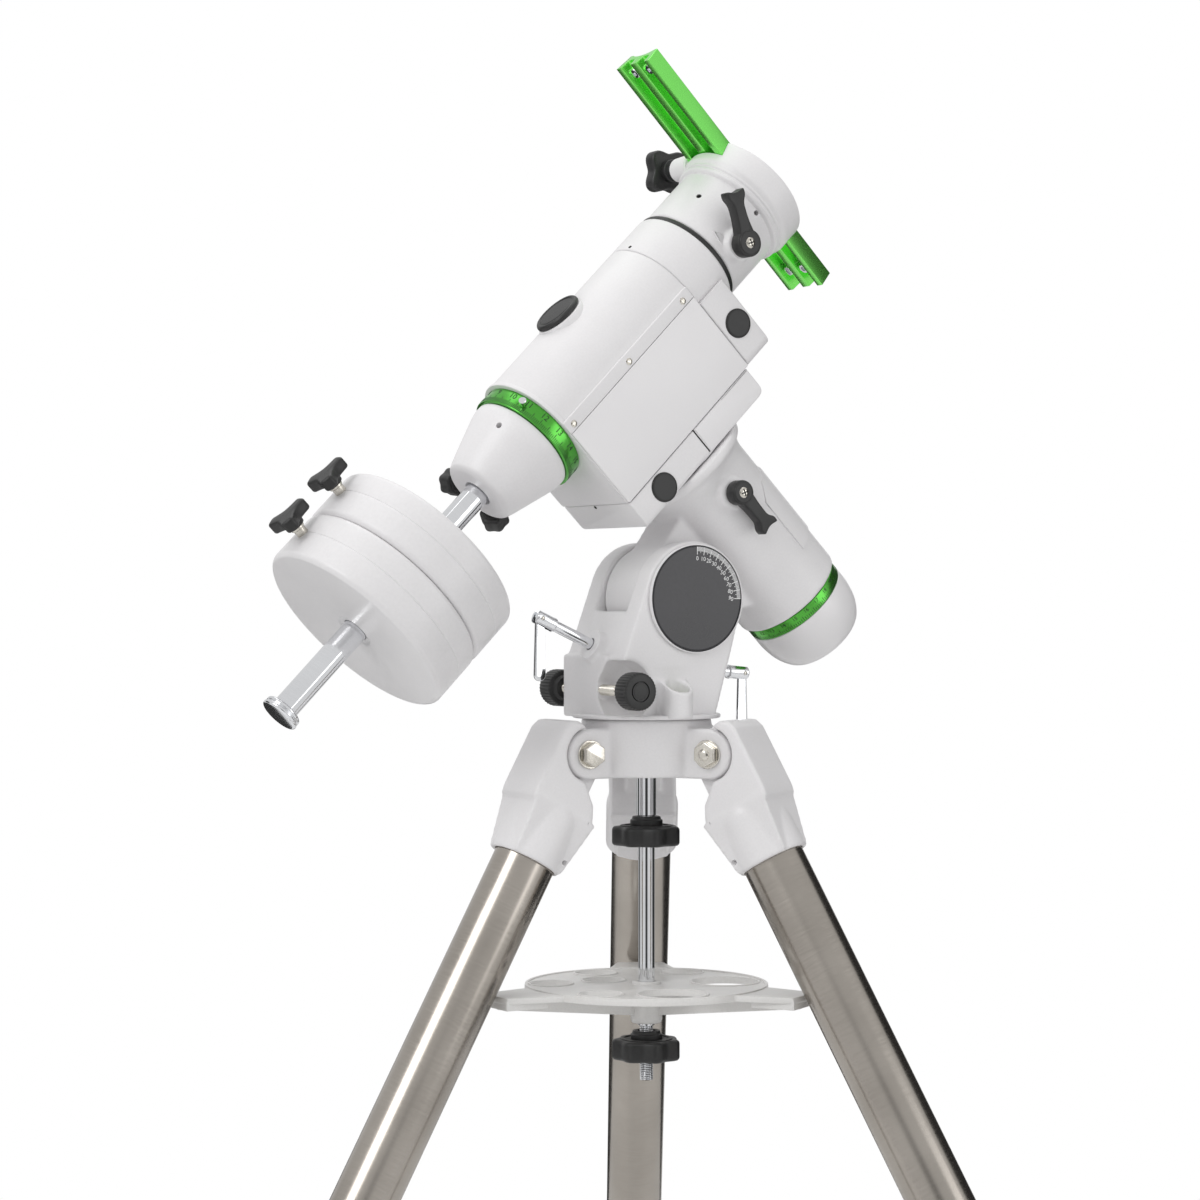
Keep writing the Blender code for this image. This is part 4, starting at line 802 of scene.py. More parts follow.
def make_altitude_bolts():
    for name, bolt in (("north", NORTH_BOLT), ("south", SOUTH_BOLT)):
        length = bolt[3]
        where = turn_frame(f"altitude_bolt_turn_{name}", Y.cross(joint_axis(f"altitude_bolt_turn_{name}")))
        shank = turned([(0, length - 16), (ALT_R, length - 16), (ALT_R, -12), (0, -12)], 40)
        end = [(0, length), (4.4, length, 0.5), (5.2, length - 0.9, 0.3), (5.2, length - 16.5, 0.4)]
        end += [(4.2, length - 17.2, 0.3), (0, length - 17.2)]
        collar = lathe(end, 0.3, 40)
        slot = block((-8, 8), (-2.4, 2.4), (length - 15.4, length + 2), 0.2, 0.1)
        head = cut(collar, slot, rod((0, -8, length - 4), (0, 8, length - 4), 1.6, edge=0.1))
        piece(f"altitude_bolt_shank_{name}", joined(shank, head), where, f"altitude_bolt_{name}",
              CHROME, f"altitude_bolt_{name}")
        swing = stand(joint_at(f"altitude_lever_swing_{name}"), Z, X)
        drop = arc(0, 0, 3.4, 0, 180, 10) + [(-3.6, -8)] + arc(0, -40, 4.5, 180, 360, 14) + [(3.6, -8)]
        piece(f"altitude_lever_blade_{name}", standing(drop, -1.3, 1.3, 0.45), swing,
              f"altitude_lever_{name}", CHROME, f"altitude_lever_{name}")
        pin = [(0, 5.6), (0.9, 5.5), (1.5, 5.1), (1.5, -5.1), (0.9, -5.5), (0, -5.6)]
        piece(f"altitude_lever_pin_{name}", moved(turned(pin, 24), spin("X", 90)), swing,
              f"altitude_lever_{name}", NICKEL)


# --- polar axis -------------------------------------------------------------------------------------
def make_polar_housing():
    low = RA_TOP - RA_FLANGE_T
    barrel = [(0, RA_TOP), (RA_FLANGE_R, RA_TOP, 1.5), (RA_FLANGE_R, low, 1.5), (RA_R + 3, low - 3, 3)]
    barrel += [(RA_R, low - 11, 6), (RA_R, RA_END, 1), (0, RA_END)]
    solids = [lathe(barrel, 0.5, 112)]
    inside = ARM_IN - 0.6
    solids += [rod((-AXES_ABOVE, -inside, -AXES_ALONG), (-AXES_ABOVE, inside, -AXES_ALONG), DRUM_R,
                   edge=1, sides=96)]
    web = [(-AXES_ABOVE, -133), (-30, -124), (-30, -214), (-41, -214, 8), (-52, -205, 6), (-58, -193, 6)]
    web += [(-AXES_ABOVE, -195)]
    solids += [standing(rounded(web, 3), 0.6 - inside, inside - 0.6, 1.2)]
    x, z = RA_LEVER
    solids += [rod((x, -32, z), (x, RA_BOSS_Y, z), 18, 11, edge=0.8)]
    body = cast(solids, (), 1.2, 6)
    cut(body, rod((x, RA_BOSS_Y - 1, z), (x, RA_BOSS_Y + 4, z), 3.4, edge=0.1))
    spigot = turned([(0, RA_END + 1), (SPIGOT_R, RA_END + 1), (SPIGOT_R, SPIGOT_END), (0, SPIGOT_END)], 72)
    piece("polar_housing_casting", joined(body, spigot), POLAR, "polar_housing", CASTING, "ra_housing")
    plate = bent_plate(RA_R + 1.1, 1.5, 72, -207, -150, 11)
    piece("polar_housing_cover", plate, POLAR, "polar_housing", SHELL, sharp=50)


def circle_marks(radius, low, high, count, numbered, step):
    """Ticks and numbers round a setting circle, standing a hair proud of it."""
    places = []
    numbers = []
    tall = high - low
    for i in range(count):
        a = 360 * i / count
        long = tall * (0.42 if i % step == 0 else 0.26)
        places.append((spin("Z", a) @ shift(radius, 0, low + 0.7 + long / 2), (0.12, 0.45, long)))
    for i in range(numbered):
        a = 360 * (i + 0.5) / numbered
        stood = spin("Z", a) @ shift(radius + 0.02, 0, high - tall * 0.3) @ spin("Y", 90) @ spin("Z", 90)
        numbers.append(moved(lettering(str(i * 24 // numbered if count > 200 else i), tall * 0.46), stood))
    return joined(dashes(places), *numbers)


def ring_profile(outer, inner, low, high):
    return rounded([(outer, high), (outer, low), (inner, low), (inner, high)], 0.7)


def make_setting_circles():
    high = RA_END - 0.3
    piece("polar_circle_ring",
          turned(ring_profile(RA_CIRCLE_R, SPIGOT_R + 0.5, RA_CIRCLE_END, high), 144, ring=True),
          POLAR, "ra_setting_circle", RING_GREEN, "ra_setting_circle")
    piece("polar_circle_marks", circle_marks(RA_CIRCLE_R, RA_CIRCLE_END, high, 144, 24, 6), POLAR,
          "ra_setting_circle", PRINT_DARK)
    high = DEC_LOW - 0.3
    piece("declination_circle_ring",
          turned(ring_profile(DEC_CIRCLE_R, 35.5, DEC_CIRCLE_END, high), 144, ring=True), DEC,
          "dec_setting_circle", RING_GREEN, "dec_setting_circle")
    piece("declination_circle_marks", circle_marks(DEC_CIRCLE_R, DEC_CIRCLE_END, high, 180, 18, 5),
          DEC, "dec_setting_circle", PRINT_DARK)
    a = math.atan2(-33, -33)
    way = Vector((math.cos(a), math.sin(a), 0))
    height = Vector((0, 0, (high + DEC_CIRCLE_END) / 2 + 0.5))
    screw = joined(rod(way * 38 + height, way * 43 + height, 1.6, edge=0.2, sides=24),
                   rod(way * 43 + height, way * 46.5 + height, 2.7, edge=0.5, sides=28))
    piece("declination_circle_screw", screw, DEC, "dec_setting_circle", CHROME)


def make_polar_cap():
    top = RA_CIRCLE_END - 0.3
    outside = [(40, top, 0.8), (40.2, -262, 8), (37.5, -276, 10), (30, -288, 10), (0.0, POLAR_CAP_END)]
    inside = [(0.0, POLAR_CAP_END + 3), (26, POLAR_CAP_END + 5), (SPIGOT_R - 1, -276),
              (SPIGOT_R + 0.5, -262)]
    inside += [(SPIGOT_R + 0.5, top)]
    profile = [(SPIGOT_R + 0.5, top)] + outside
    shell = rounded(profile, 8, closed=False, steps=8)
    piece("polar_scope_dome", turned(shell + inside[:-1] + [(SPIGOT_R + 0.5, top)], 120), POLAR,
          "polar_scope_cap", SHELL, "polar_scope_cap", sharp=50)


def clutch_lever(prefix, joint, body, node, way, length, hub):
    """A black clutch lever with a flared, notched end, and its cross-head screw."""
    where = stand(joint_at(joint), joint_axis(joint), X if abs(joint_axis(joint).x) < 0.5 else Z)
    local = where.inverted().to_3x3() @ way
    tilt = spin("Z", math.degrees(math.atan2(local.y, local.x)))
    points = arc(0, 0, hub, 38, 322, 30)
    points += [(length * 0.42, -4.6, 8), (length * 0.72, -4.4, 6), (length - 5.5, -7.8, 2.5),
               (length - 0.8, -7.4, 1.6)]
    points += [(length - 3.2, 0, 5), (length - 0.8, 7.4, 1.6), (length - 5.5, 7.8, 2.5),
               (length * 0.72, 4.4, 6)]
    points += [(length * 0.42, 4.6, 8)]
    arm = slab(rounded(points, 0.4), 1.2, LEVER_T, 1.1)
    base = rod((0, 0, 0.3), (0, 0, 3), hub - 1.2, hub - 0.6, edge=0.3)
    face = lathe([(0, LEVER_T + 0.8), (hub - 1.6, LEVER_T + 0.8, 0.6), (hub - 1.0, LEVER_T - 0.6),
                  (0, LEVER_T - 0.6)], 0.3, 64)
    lever = joined(arm, base, face)
    piece(f"{prefix}_handle", moved(lever, tilt), where, body, BLACK, node)
    screw = moved(cross_screw(4.3, 1.9), shift(z=LEVER_T) @ spin("Z", 20))
    piece(f"{prefix}_screw", screw, where, body, NICKEL)


# --- declination axis -------------------------------------------------------------------------------
DEC_BODY = "declination_housing"


def make_dec_lower():
    """The lower casting: barrel and box in one, with a window boss, and a lip at its end."""
    step = BOX_WEST + 2.6
    lower = [(-3.5, BOX_WEST, 1.5), (BOX_START - GAP, BOX_WEST), (BOX_START - GAP, step), (BOX_END, step)]
    lower += [(BOX_END, BOX_EAST, 3), (9, BOX_EAST, 6)]
    lower = rounded(lower, 0.6) + arc(0, 0, DEC_R, 84, 262, 60)
    casting = slab(lower, DEC_LOW, SEAM_Z, 1.0)
    window = [(0, 43.6), (WINDOW_R - 1, 43.6, 0.8), (WINDOW_R, 42, 1), (WINDOW_R + 1.5, 36, 2),
              (WINDOW_R + 5, 32), (0, 32)]
    window = moved(lathe(window, 0.5, 72), spin("Y", -90))
    spigot = rod((0, 0, SEAM_Z - 3), (0, 0, SEAM_Z + 4), DEC_R - 1.2, edge=0.1, sides=96)
    lip = [(0, DEC_LOW + 3), (DEC_R + 0.9, DEC_LOW + 3, 0.6), (DEC_R + 0.9, DEC_LOW - 0.1, 0.8)]
    lip = lathe(lip + [(0, DEC_LOW - 0.1)], 0.4, 112)
    piece("declination_casting_lower", joined(casting, window, spigot, lip), DEC, DEC_BODY, CASTING,
          "dec_housing")


def make_dec_upper():
    """The upper casting: barrel and shoulder, and the black seal on top of it."""
    low = SEAM_Z + 0.45
    shoulder = [(0, BOX_WEST + 0.3, 2), (SHOULDER_X[1], BOX_WEST + 0.3, 7), (SHOULDER_X[1], 45, 7)]
    shoulder = slab(rounded(shoulder + [(0, 45, 2)], 2), low + 0.2, SHOULDER_TOP, 1.4)
    rim = [(0, DEC_HIGH), (DEC_R - 1, DEC_HIGH, 1), (DEC_R, DEC_HIGH - 1.5, 1)]
    rim += [(DEC_R, low + 0.6), (DEC_R - 0.6, low), (0, low)]
    barrel = lathe(rim, 0.5, 120)
    keep = block((-60, SHOULDER_X[0]), (-60, 60), (low - 2, SHOULDER_TOP + 2), 0.5, 0.1)
    shoulder = cut(shoulder, keep)
    piece("declination_casting_upper", joined(shoulder, barrel), DEC, DEC_BODY, CASTING)
    seal = [(42.2, DEC_HIGH - 1), (42.2, DEC_HIGH + 2.6, 0.6), (41.4, DEC_HIGH + 3.8, 0.5)]
    seal += [(37.3, DEC_HIGH + 3.8), (37.3, DEC_HIGH - 1)]
    piece("declination_seal_ring", band(seal, 0.4, 112), DEC, DEC_BODY, BLACK)


def make_dec_covers():
    """The side cover, the foot that stands on the polar axis, and the motor cover beside it."""
    low, high, end = DEC_LOW + 0.6, SEAM_Z - 0.4, BOX_END - 0.5
    cover = rounded([(BOX_START, low), (end, low), (end, high), (BOX_START, high)], 0.8)
    piece("declination_cover_plate", standing(cover, BOX_WEST, BOX_WEST + 2.5, 0.35), DEC, DEC_BODY,
          SHELL, "dec_side_cover")
    foot = [(BOX_END + GAP, BOX_WEST + 0.6, 0.8), (NECK_END, BOX_WEST + 0.6, 4), (NECK_END, 46, 4)]
    foot += [(BOX_END + GAP, 46, 0.8)]
    foot = slab(rounded(foot, 1), DEC_LOW + 0.2, 2.0, 0.8)
    neck = [(0, NECK_END), (43.4, NECK_END, 1), (43.4, BOX_END + 4), (0, BOX_END + 4)]
    neck = moved(lathe(neck, 0.5, 112), spin("Y", 90))
    piece("declination_casting_foot", joined(foot, neck), DEC, DEC_BODY, CASTING)
    shell = [(BOX_END + 0.3, 3.0, 0.4), (NECK_END - 1, 3.0, 0.8), (NECK_END - 1, 67, 6),
             (BOX_END + 0.3, 67, 0.4)]
    shell = standing(rounded(shell, 0.6), -44.6, 44, 1.0)
    piece("declination_motor_cover", shell, DEC, DEC_BODY, SHELL, "dec_motor_cover")
    # A thin black slab fills the seam under the motor cover: painted shadow in the gap.
    gap = block((BOX_END + 0.6, NECK_END - 2), (-43.6, 43), (1.8, 3.2), 0.3, 0.1)
    piece("declination_cover_seam_shadow", gap, DEC, DEC_BODY, SHADOW)


def make_dec_details():
    """Plugs, cover screws, and pin holes drawn as dark dots of painted shade, on the declination housing."""
    for name, x, z, y in (("upper", 45.5, 84.5, BOX_WEST + 0.3), ("lower", 85.5, -43.7, BOX_WEST + 0.6)):
        disc = [(0, 1.3), (9.2, 1.2), (10.6, 0.7, 0.4), (10.8, -1), (0, -1)]
        cap = moved(lathe(disc, 0.4, 64), shift(x, y, z) @ spin("X", 90))
        piece(f"clamp_hole_plug_{name}", cap, DEC, DEC_BODY, BLACK)
    for index, z in enumerate((60.5, -2.8, -66.4)):
        seat = turned([(0, 0.12), (3.3, 0.1), (3.3, -0.5), (0, -0.5)], 36)
        place = shift(2.6, BOX_WEST, z) @ spin("X", 90)
        piece(f"cover_screw_seat_{index + 1}", moved(seat, place), DEC, DEC_BODY, CASTING)
        screw = moved(cross_screw(2.6, 0.8), place @ shift(z=0.08) @ spin("Z", 35 * index + 10))
        piece(f"cover_screw_{index + 1}", screw, DEC, DEC_BODY, NICKEL)
    side = Vector((-math.cos(PIN_TURN), -math.sin(PIN_TURN), 0))
    holes = [(side * DEC_R + Z * 73.5, -side), (Vector((75.4, 4, DEC_LOW)), Z)]
    # Each pin hole is a short near-black rod at the surface: painted shade standing in for the hole.
    for index, (spot, way) in enumerate(holes):
        dot = rod(spot - way * 0.15, spot + way, 1.3, edge=0.1, sides=20)
        piece(f"painted_shade_pin_hole_{index + 1}", dot, DEC, DEC_BODY, SHADOW)


def make_window_cap():
    cap = [(0, 3.6), (13, 3.5, 2), (14.5, 2.6, 1), (15.5, 3.7, 1), (16.8, 3.6, 1), (18, 2.2, 1),
           (18, 0.3), (0, 0.3)]
    where = DEC @ Matrix.Translation((WINDOW_X * MM, 0, 0)) @ spin("Y", -90)
    piece("polar_window_plug", lathe(cap, 0.5, 80), where, "polar_window_cap", BLACK, "polar_window_cap")


def make_cone():
    rim = DEC_CIRCLE_END - 0.3
    cone = [(0, DEC_LOW - 0.4), (35, DEC_LOW - 0.4), (35, rim), (CONE_R, rim, 0.8),
            (CONE_R + 0.2, rim - 5, 3)]
    cone += [(CONE_R - 1.2, rim - 11, 5), (28.5, -129, 5), (CONE_END_R, CONE_END + 1.5, 2),
             (22, CONE_END, 2)]
    cone += [(SHAFT_R + 1.6, CONE_END, 0.5), (SHAFT_R + 1.2, CONE_END + 4), (0, CONE_END + 4)]
    body = lathe(cone, 0.6, 120)
    holes = []
    for angle in LOCK_ANGLES.values():
        way = spin("Z", angle).to_3x3() @ X
        height = Vector((0, 0, LOCK_Z))
        holes.append(rod(height + way * 12, height + way * 50, 4.2, edge=0.1, sides=28))
    a = math.atan2(-25.4, -33.8)
    way = Vector((math.cos(a), math.sin(a), 0.0))
    holes.append(rod(way * 30 + Vector((0, 0, -100.5)), way * 46 + Vector((0, 0, -100.5)), 2.1,
                     edge=0.1, sides=24))
    piece("declination_end_cone", cut(body, *holes), DEC, "declination_housing", CASTING,
          "dec_end_cone", sharp=30)
    for name in LOCK_ANGLES:
        where = turn_frame(f"shaft_lock_turn_{name}", DEC_WAY)
        wheel = slab(lobed(10, 1.3, 6), 32, 44, 1.6)
        hub = lathe([(0, 44.6), (5, 44.6), (6, 43), (6.5, 31), (0, 31)], 0.6, 40)
        piece(f"shaft_lock_grip_{name}", joined(wheel, hub), where, f"shaft_lock_{name}", BLACK,
              f"shaft_lock_knob_{name}")
        piece(f"shaft_lock_stud_{name}", threaded(3.5, SHAFT_R + 0.6, 33, 1.0, 0.45), where,
              f"shaft_lock_{name}", NICKEL)


def make_saddle():
    puck = [(0, SADDLE_TOP), (PUCK_R, SADDLE_TOP, 1.2), (PUCK_R, SADDLE_TOP - 19, 3),
            (44.6, SADDLE_TOP - 22, 1)]
    puck += [(44.6, SADDLE_TOP - 23.4, 0.5), (43.4, SADDLE_TOP - 24.2, 0.4), (43.4, SADDLE_TOP - 25.4, 0.4)]
    puck += [(44.4, SADDLE_TOP - 26.2, 0.5), (43.6, SADDLE_TOP - 28.4, 1.2),
             (SADDLE_R, SADDLE_TOP - 29.4, 1.5)]
    puck += [(SADDLE_R - 1, SADDLE_TOP - 31), (0, SADDLE_TOP - 31)]
    neck = [(0, SADDLE_TOP - 22), (SADDLE_R, SADDLE_TOP - 22), (SADDLE_R, SADDLE_LOW, 1), (0, SADDLE_LOW)]
    x, z = DEC_LEVER
    solids = [lathe(neck, 0.4, 120)]
    solids += [rod((x, -28, z), (x, DEC_BOSS_Y, z), 17, 11, edge=0.8)]
    boss = rod((SADDLE_KNOB_X, 24, SADDLE_KNOB_Z - 2), (SADDLE_KNOB_X, 46, SADDLE_KNOB_Z - 2), 10, 9,
               edge=1.2)
    body = joined(cast(solids, (), 1.1, 6), lathe(puck, 0.4, 144), boss)
    slope = (BAR_HALF - BAR_TOP_HALF) / (BAR_TOP - BAR_LOW)
    low, high = BAR_LOW - 0.25, SADDLE_TOP + 3
    wide = BAR_HALF + 0.35
    groove = [(-wide, low), (wide, low), (wide - slope * (high - low), high),
              (slope * (high - low) - wide, high)]
    tools = [lengthwise(groove, -70, 70, 0.05)]
    tools += [rod((SADDLE_KNOB_X, 15, SADDLE_KNOB_Z), (SADDLE_KNOB_X, 62, SADDLE_KNOB_Z), 4.5, edge=0.1)]
    tools += [rod((x, DEC_BOSS_Y - 1, z), (x, DEC_BOSS_Y + 4, z), 3.4, edge=0.1)]
    for spot in ((-35.3, -24.4, 136), (1.3, -39.4, 154.7)):
        spot = Vector(spot)
        way = Vector((spot.x, spot.y, 0)).normalized()
        tools.append(rod(spot - way * 7, spot + way * 5, 2.0, edge=0.05, sides=24))
    piece("saddle_casting", cut(body, *tools), DEC, "saddle", CASTING, "saddle_head")
    wedge = [(-14.5, 118), (-8, 121.5), (7, 121.5), (7, 115), (-2, 115)]
    wedge = standing(rounded(wedge, 1.2), -41.5, -33, 0.8)
    piece("declination_pointer", wedge, DEC, "saddle", CASTING)
    for index, spot in enumerate(((-35.3, -24.4, 136), (1.3, -39.4, 154.7))):
        spot = Vector(spot)
        way = Vector((spot.x, spot.y, 0)).normalized()
        inner = cut(rod(spot - way * 6.5, spot - way * 2.5, 1.95, edge=0.2, sides=24),
                    rod(spot - way * 4, spot, 0.9, edge=0.02, sides=6))
        piece(f"saddle_grub_screw_{index + 1}", inner, DEC, "saddle", SHADOW)


def make_bar():
    half, top = BAR_HALF, BAR_TOP_HALF
    deep = BAR_LOW + 8.0
    outline = [(-half, BAR_LOW, 0.5), (-15.5, BAR_LOW, 0.4), (-14.2, deep, 1.6), (-5.4, deep, 1.6)]
    outline += [(-4.2, BAR_LOW + 1.2, 0.4), (4.2, BAR_LOW + 1.2, 0.4), (5.4, deep, 1.6), (14.2, deep, 1.6)]
    outline += [(15.5, BAR_LOW, 0.4), (half, BAR_LOW, 0.5), (top, BAR_TOP, 0.5), (14.6, BAR_TOP, 0.4)]
    outline += [(9, BAR_TOP - 2.4, 3), (0, BAR_TOP - 3.4, 5), (-9, BAR_TOP - 2.4, 3)]
    outline += [(-14.6, BAR_TOP, 0.4), (-top, BAR_TOP, 0.5)]
    start = -BAR_SHIFT - BAR_LENGTH / 2
    end = BAR_LENGTH / 2 - BAR_SHIFT
    bar = lengthwise(rounded(outline, 0.5, steps=3), start, end, 0.25)
    piece("dovetail_bar_green", bar, DEC, "dovetail_bar", GREEN, "dovetail_bar")
    for end_name, x in (("upper", start + 9.0), ("lower", end - 15.0)):
        for side_name, y in (("west", -9.8), ("east", 9.8)):
            screw = moved(socket_screw(3.9, 5.5), shift(x, y, deep) @ spin("X", 180))
            piece(f"bar_screw_{end_name}_{side_name}", screw, DEC, "dovetail_bar", CHROME)


def make_saddle_knob():
    where = turn_frame("saddle_knob_turn", DEC_WAY)
    near, far = SADDLE_KNOB_Y + 2, SADDLE_KNOB_Y + 14
    wheel = slab(lobed(19, 5.6, 4, 16), near, far, 2.2)
    hub = [(0, far + 0.0), (7, far, 0.6), (8, far - 2), (8.4, SADDLE_KNOB_Y - 3, 1), (0, SADDLE_KNOB_Y - 4)]
    piece("saddle_knob_grip", joined(wheel, lathe(hub, 0.6, 48)), where, "saddle_lock_knob", BLACK,
          "saddle_lock_knob")
    piece("saddle_knob_stud", threaded(4, 23, SADDLE_KNOB_Y - 2), where, "saddle_lock_knob", CHROME)


# --- counterweights ---------------------------------------------------------------------------------
def make_counterweights():
    shaft = [(0, SHAFT_TOP), (SHAFT_R - 0.8, SHAFT_TOP), (SHAFT_R, SHAFT_TOP - 0.8),
             (SHAFT_R, SHAFT_END + 0.8)]
    shaft += [(SHAFT_R - 0.8, SHAFT_END), (0, SHAFT_END)]
    piece("weight_shaft", turned(shaft, 80), DEC, "counterweight_shaft", CHROME, "counterweight_shaft")
    cap = [(0, SHAFT_END - 0.3), (12.6, SHAFT_END - 0.3, 0.5), (13.6, SHAFT_END - 1.3, 0.5),
           (13.6, SHAFT_END - 3, 0.4)]
    cap += [(12.9, SHAFT_END - 3.4, 0.3), (12.9, SHAFT_END - 4, 0.3), (14, SHAFT_END - 4.5, 0.4)]
    cap += [(14, SHAFT_END - 6, 0.6), (12.8, SHAFT_END - 7, 0.6), (0, SHAFT_END - 7)]
    piece("weight_shaft_cap", lathe(cap, 0.3, 80), DEC, "shaft_end_cap", CHROME, "shaft_end_cap")
    bore = SHAFT_R + 0.5
    for index, name in enumerate(("upper", "lower")):
        top = WEIGHT_TOP - index * (WEIGHT_T + 0.3)
        low = top - WEIGHT_T
        line = top - WEIGHT_T * 0.47
        disc = [(bore, top), (WEIGHT_R - 2.6, top, 1.2), (WEIGHT_R, top - 2.2, 2),
                (WEIGHT_R, line + 0.7, 0.3)]
        disc += [(WEIGHT_R - 0.5, line, 0.3), (WEIGHT_R, line - 0.7, 0.3), (WEIGHT_R, low + 2.4, 2)]
        disc += [(WEIGHT_R - 2.8, low, 1.2), (14, low, 1), (12.5, low + 1.6, 1), (bore, low + 1.6)]
        piece(f"weight_disc_{name}", band(disc, 0.4, 160, steps=4), DEC, f"counterweight_{name}", IRON,
              f"counterweight_{name}", sharp=30)
        where = turn_frame(f"weight_knob_turn_{name}", DEC_WAY)
        seat = WEIGHT_R
        points = []
        for lobe in range(3):
            a = 120.0 * lobe
            points += [(16.5 * math.cos(math.radians(a + s)), 16.5 * math.sin(math.radians(a + s)),
                        3) for s in (-16, 16)]
            points += [(7.2 * math.cos(math.radians(a + 60)), 7.2 * math.sin(math.radians(a + 60)), 5)]
        wings = slab(rounded(points, 3), seat + 9.5, seat + 18.5, 2.0)
        hub = [(0, seat + 17.5), (5.5, seat + 17.5, 1), (7, seat + 12, 1), (6.4, seat + 6.5, 1),
               (0, seat + 6.5)]
        grip = joined(wings, lathe(hub, 0.6, 48))
        piece(f"weight_knob_grip_{name}", grip, where, f"weight_knob_{name}", BLACK, f"weight_knob_{name}")
        stud = joined(threaded(3.5, bore, seat - 1.0, 1.0, 0.4),
                      rod((0, 0, seat - 3), (0, 0, seat + 8), 4.2, edge=0.4),
                      rod((0, 0, seat + 4.5), (0, 0, seat + 7.5), 5.0, edge=0.5))
        piece(f"weight_knob_stud_{name}", stud, where, f"weight_knob_{name}", NICKEL)


def dress_inner_nodes():
    """The shafts, motors and polar scope inside keep their CAD shapes."""
    inner = {"ra_shaft": STEEL, "dec_shaft": STEEL, "ra_motor": MOTOR, "dec_motor": MOTOR,
             "polar_scope": BLACK}
    for node, material in inner.items():
        obj = frame["nodes"][node]
        obj.data.materials.clear()
        obj.data.materials.append(material)


# --- studio -----------------------------------------------------------------------------------------
CAMERA_AZIMUTH, CAMERA_DISTANCE, CAMERA_SIDE, CAMERA_RISE = -31.2, 2.094, 0.0335, 0.085
FORWARD = Vector((math.sin(math.radians(-CAMERA_AZIMUTH)), math.cos(math.radians(CAMERA_AZIMUTH)), 0.0))
RIGHT = Vector((FORWARD.y, -FORWARD.x, 0.0))


def make_camera():
    data = bpy.data.cameras.new("camera")
    data.lens = 87.0
    data.sensor_width = 36.0
    camera = bpy.data.objects.new("camera", data)
    bpy.context.scene.collection.objects.link(camera)
    hub = joint_at("fixing_rod_turn")
    camera.location = hub - FORWARD * CAMERA_DISTANCE - RIGHT * CAMERA_SIDE + Z * CAMERA_RISE
    camera.rotation_euler = (math.pi / 2, 0.0, math.radians(CAMERA_AZIMUTH))
    bpy.context.scene.camera = camera


def make_light(name, place, size, power, tint=(1.0, 1.0, 1.0)):
    data = bpy.data.lights.new(name, "AREA")
    data.shape = "SQUARE"
    data.size = size
    data.energy = power
    data.color = tint
    lamp = bpy.data.objects.new(name, data)
    bpy.context.scene.collection.objects.link(lamp)
    lamp.location = place
    lamp.rotation_euler = (Vector((0, 0, 0.95)) - place).to_track_quat("-Z", "Y").to_euler()


ROOM_LIGHT, STAND_LIGHT = 0.92, 0.05


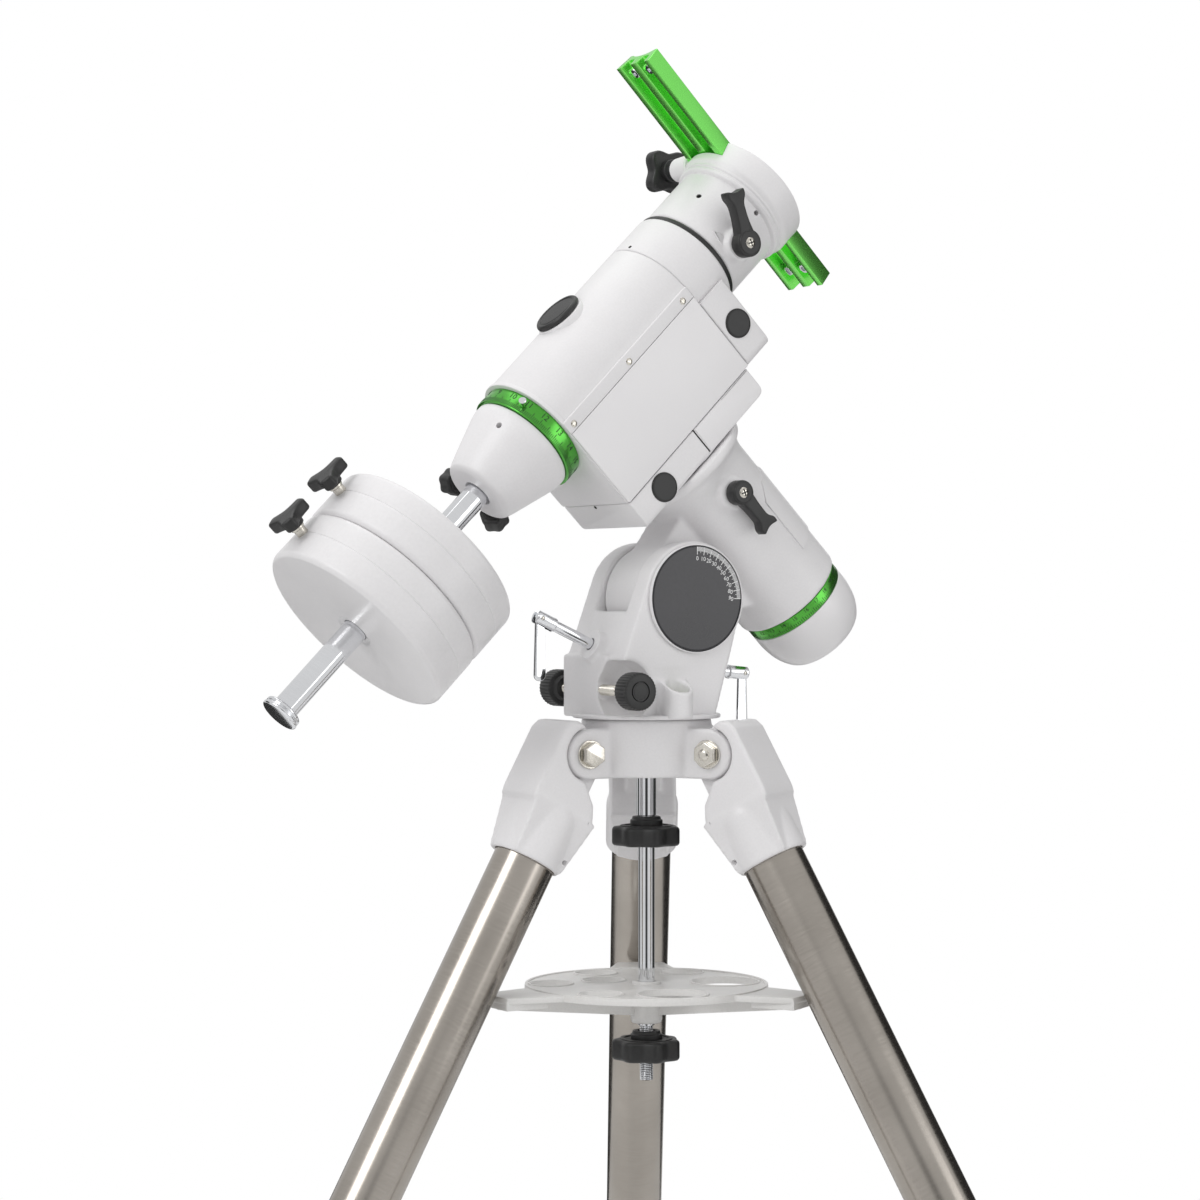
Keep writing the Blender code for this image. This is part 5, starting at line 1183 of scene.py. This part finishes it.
def make_world():
    """White behind the object; for reflections, a pale studio with two dark stands in it."""
    world = bpy.data.worlds.new("studio")
    bpy.context.scene.world = world
    world.use_nodes = True
    nodes, links = world.node_tree.nodes, world.node_tree.links
    backdrop = nodes["Background"]
    backdrop.inputs["Color"].default_value = (1.0, 1.0, 1.0, 1.0)
    room = nodes.new("ShaderNodeBackground")
    where = nodes.new("ShaderNodeTexCoord")
    lit = None
    stands = [(-FORWARD, 0.965), (FORWARD * 0.55 + RIGHT * 0.83, 0.82)]
    stands += [(FORWARD * 0.35 - RIGHT * 0.93, 0.97), (FORWARD * 0.8 - RIGHT * 0.33 - Z * 0.5, 0.88)]
    for way, reach in stands:
        dot = nodes.new("ShaderNodeVectorMath")
        dot.operation = "DOT_PRODUCT"
        dot.inputs[1].default_value = way.normalized()
        links.new(where.outputs["Generated"], dot.inputs[0])
        band = nodes.new("ShaderNodeMapRange")
        band.interpolation_type = "SMOOTHSTEP"
        band.inputs["From Min"].default_value = reach - 0.03
        band.inputs["From Max"].default_value = reach + 0.02
        band.inputs["To Min"].default_value = ROOM_LIGHT if lit is None else 1.0
        band.inputs["To Max"].default_value = STAND_LIGHT
        links.new(dot.outputs["Value"], band.inputs["Value"])
        if lit is None:
            lit = band.outputs["Result"]
            continue
        product = nodes.new("ShaderNodeMath")
        product.operation = "MULTIPLY"
        links.new(lit, product.inputs[0])
        links.new(band.outputs["Result"], product.inputs[1])
        lit = product.outputs["Value"]
    links.new(lit, room.inputs["Strength"])
    path = nodes.new("ShaderNodeLightPath")
    mix = nodes.new("ShaderNodeMixShader")
    links.new(path.outputs["Is Camera Ray"], mix.inputs["Fac"])
    links.new(room.outputs["Background"], mix.inputs[1])
    links.new(backdrop.outputs["Background"], mix.inputs[2])
    links.new(mix.outputs["Shader"], nodes["World Output"].inputs["Surface"])


def make_floor():
    """A pale round floor with a soft grain."""
    sides = 96
    bm = bmesh.new()
    bmesh.ops.create_circle(bm, cap_ends=True, segments=sides, radius=1.7)
    floor = shape_of(bm)
    floor.name = "floor"
    floor.location.z = -0.0005
    floor.data.materials.append(finish("pale_floor", grey(0.86), grey(0.83), (0.55, 0.65), grain=60.0,
                                       patch=1.5,
                                       relief=0.02))


make_camera()
make_world()
make_light("key", -FORWARD * 1.9 - RIGHT * 1.9 + Z * 2.6, 1.6, 31.0)
make_light("fill", -FORWARD * 1.2 + RIGHT * 2.6 + Z * 1.3, 1.4, 9.0)
make_light("top", FORWARD * 0.4 + Z * 3.2, 2.0, 16.0)
make_floor()

make_hub()
make_legs()
make_rod()
make_tray()
make_base()
make_dial()
make_axle()
make_azimuth_knobs()
make_altitude_bolts()
make_polar_housing()
make_setting_circles()
make_polar_cap()
clutch_lever("polar_clutch", "ra_clutch_turn", "ra_clutch_lever", "ra_clutch_lever", -POLAR_WAY, 36.0, 9.0)
make_dec_lower()
make_dec_upper()
make_dec_covers()
make_dec_details()
make_window_cap()
make_cone()
make_saddle()
clutch_lever("declination_clutch", "dec_clutch_turn", "dec_clutch_lever", "dec_clutch_lever",
             POLAR_WAY * 35.5 + DEC_WAY * 17.7, 40.0, 10.0)
make_bar()
make_saddle_knob()
make_counterweights()
dress_inner_nodes()

bpy.context.scene.view_settings.view_transform = "Standard"
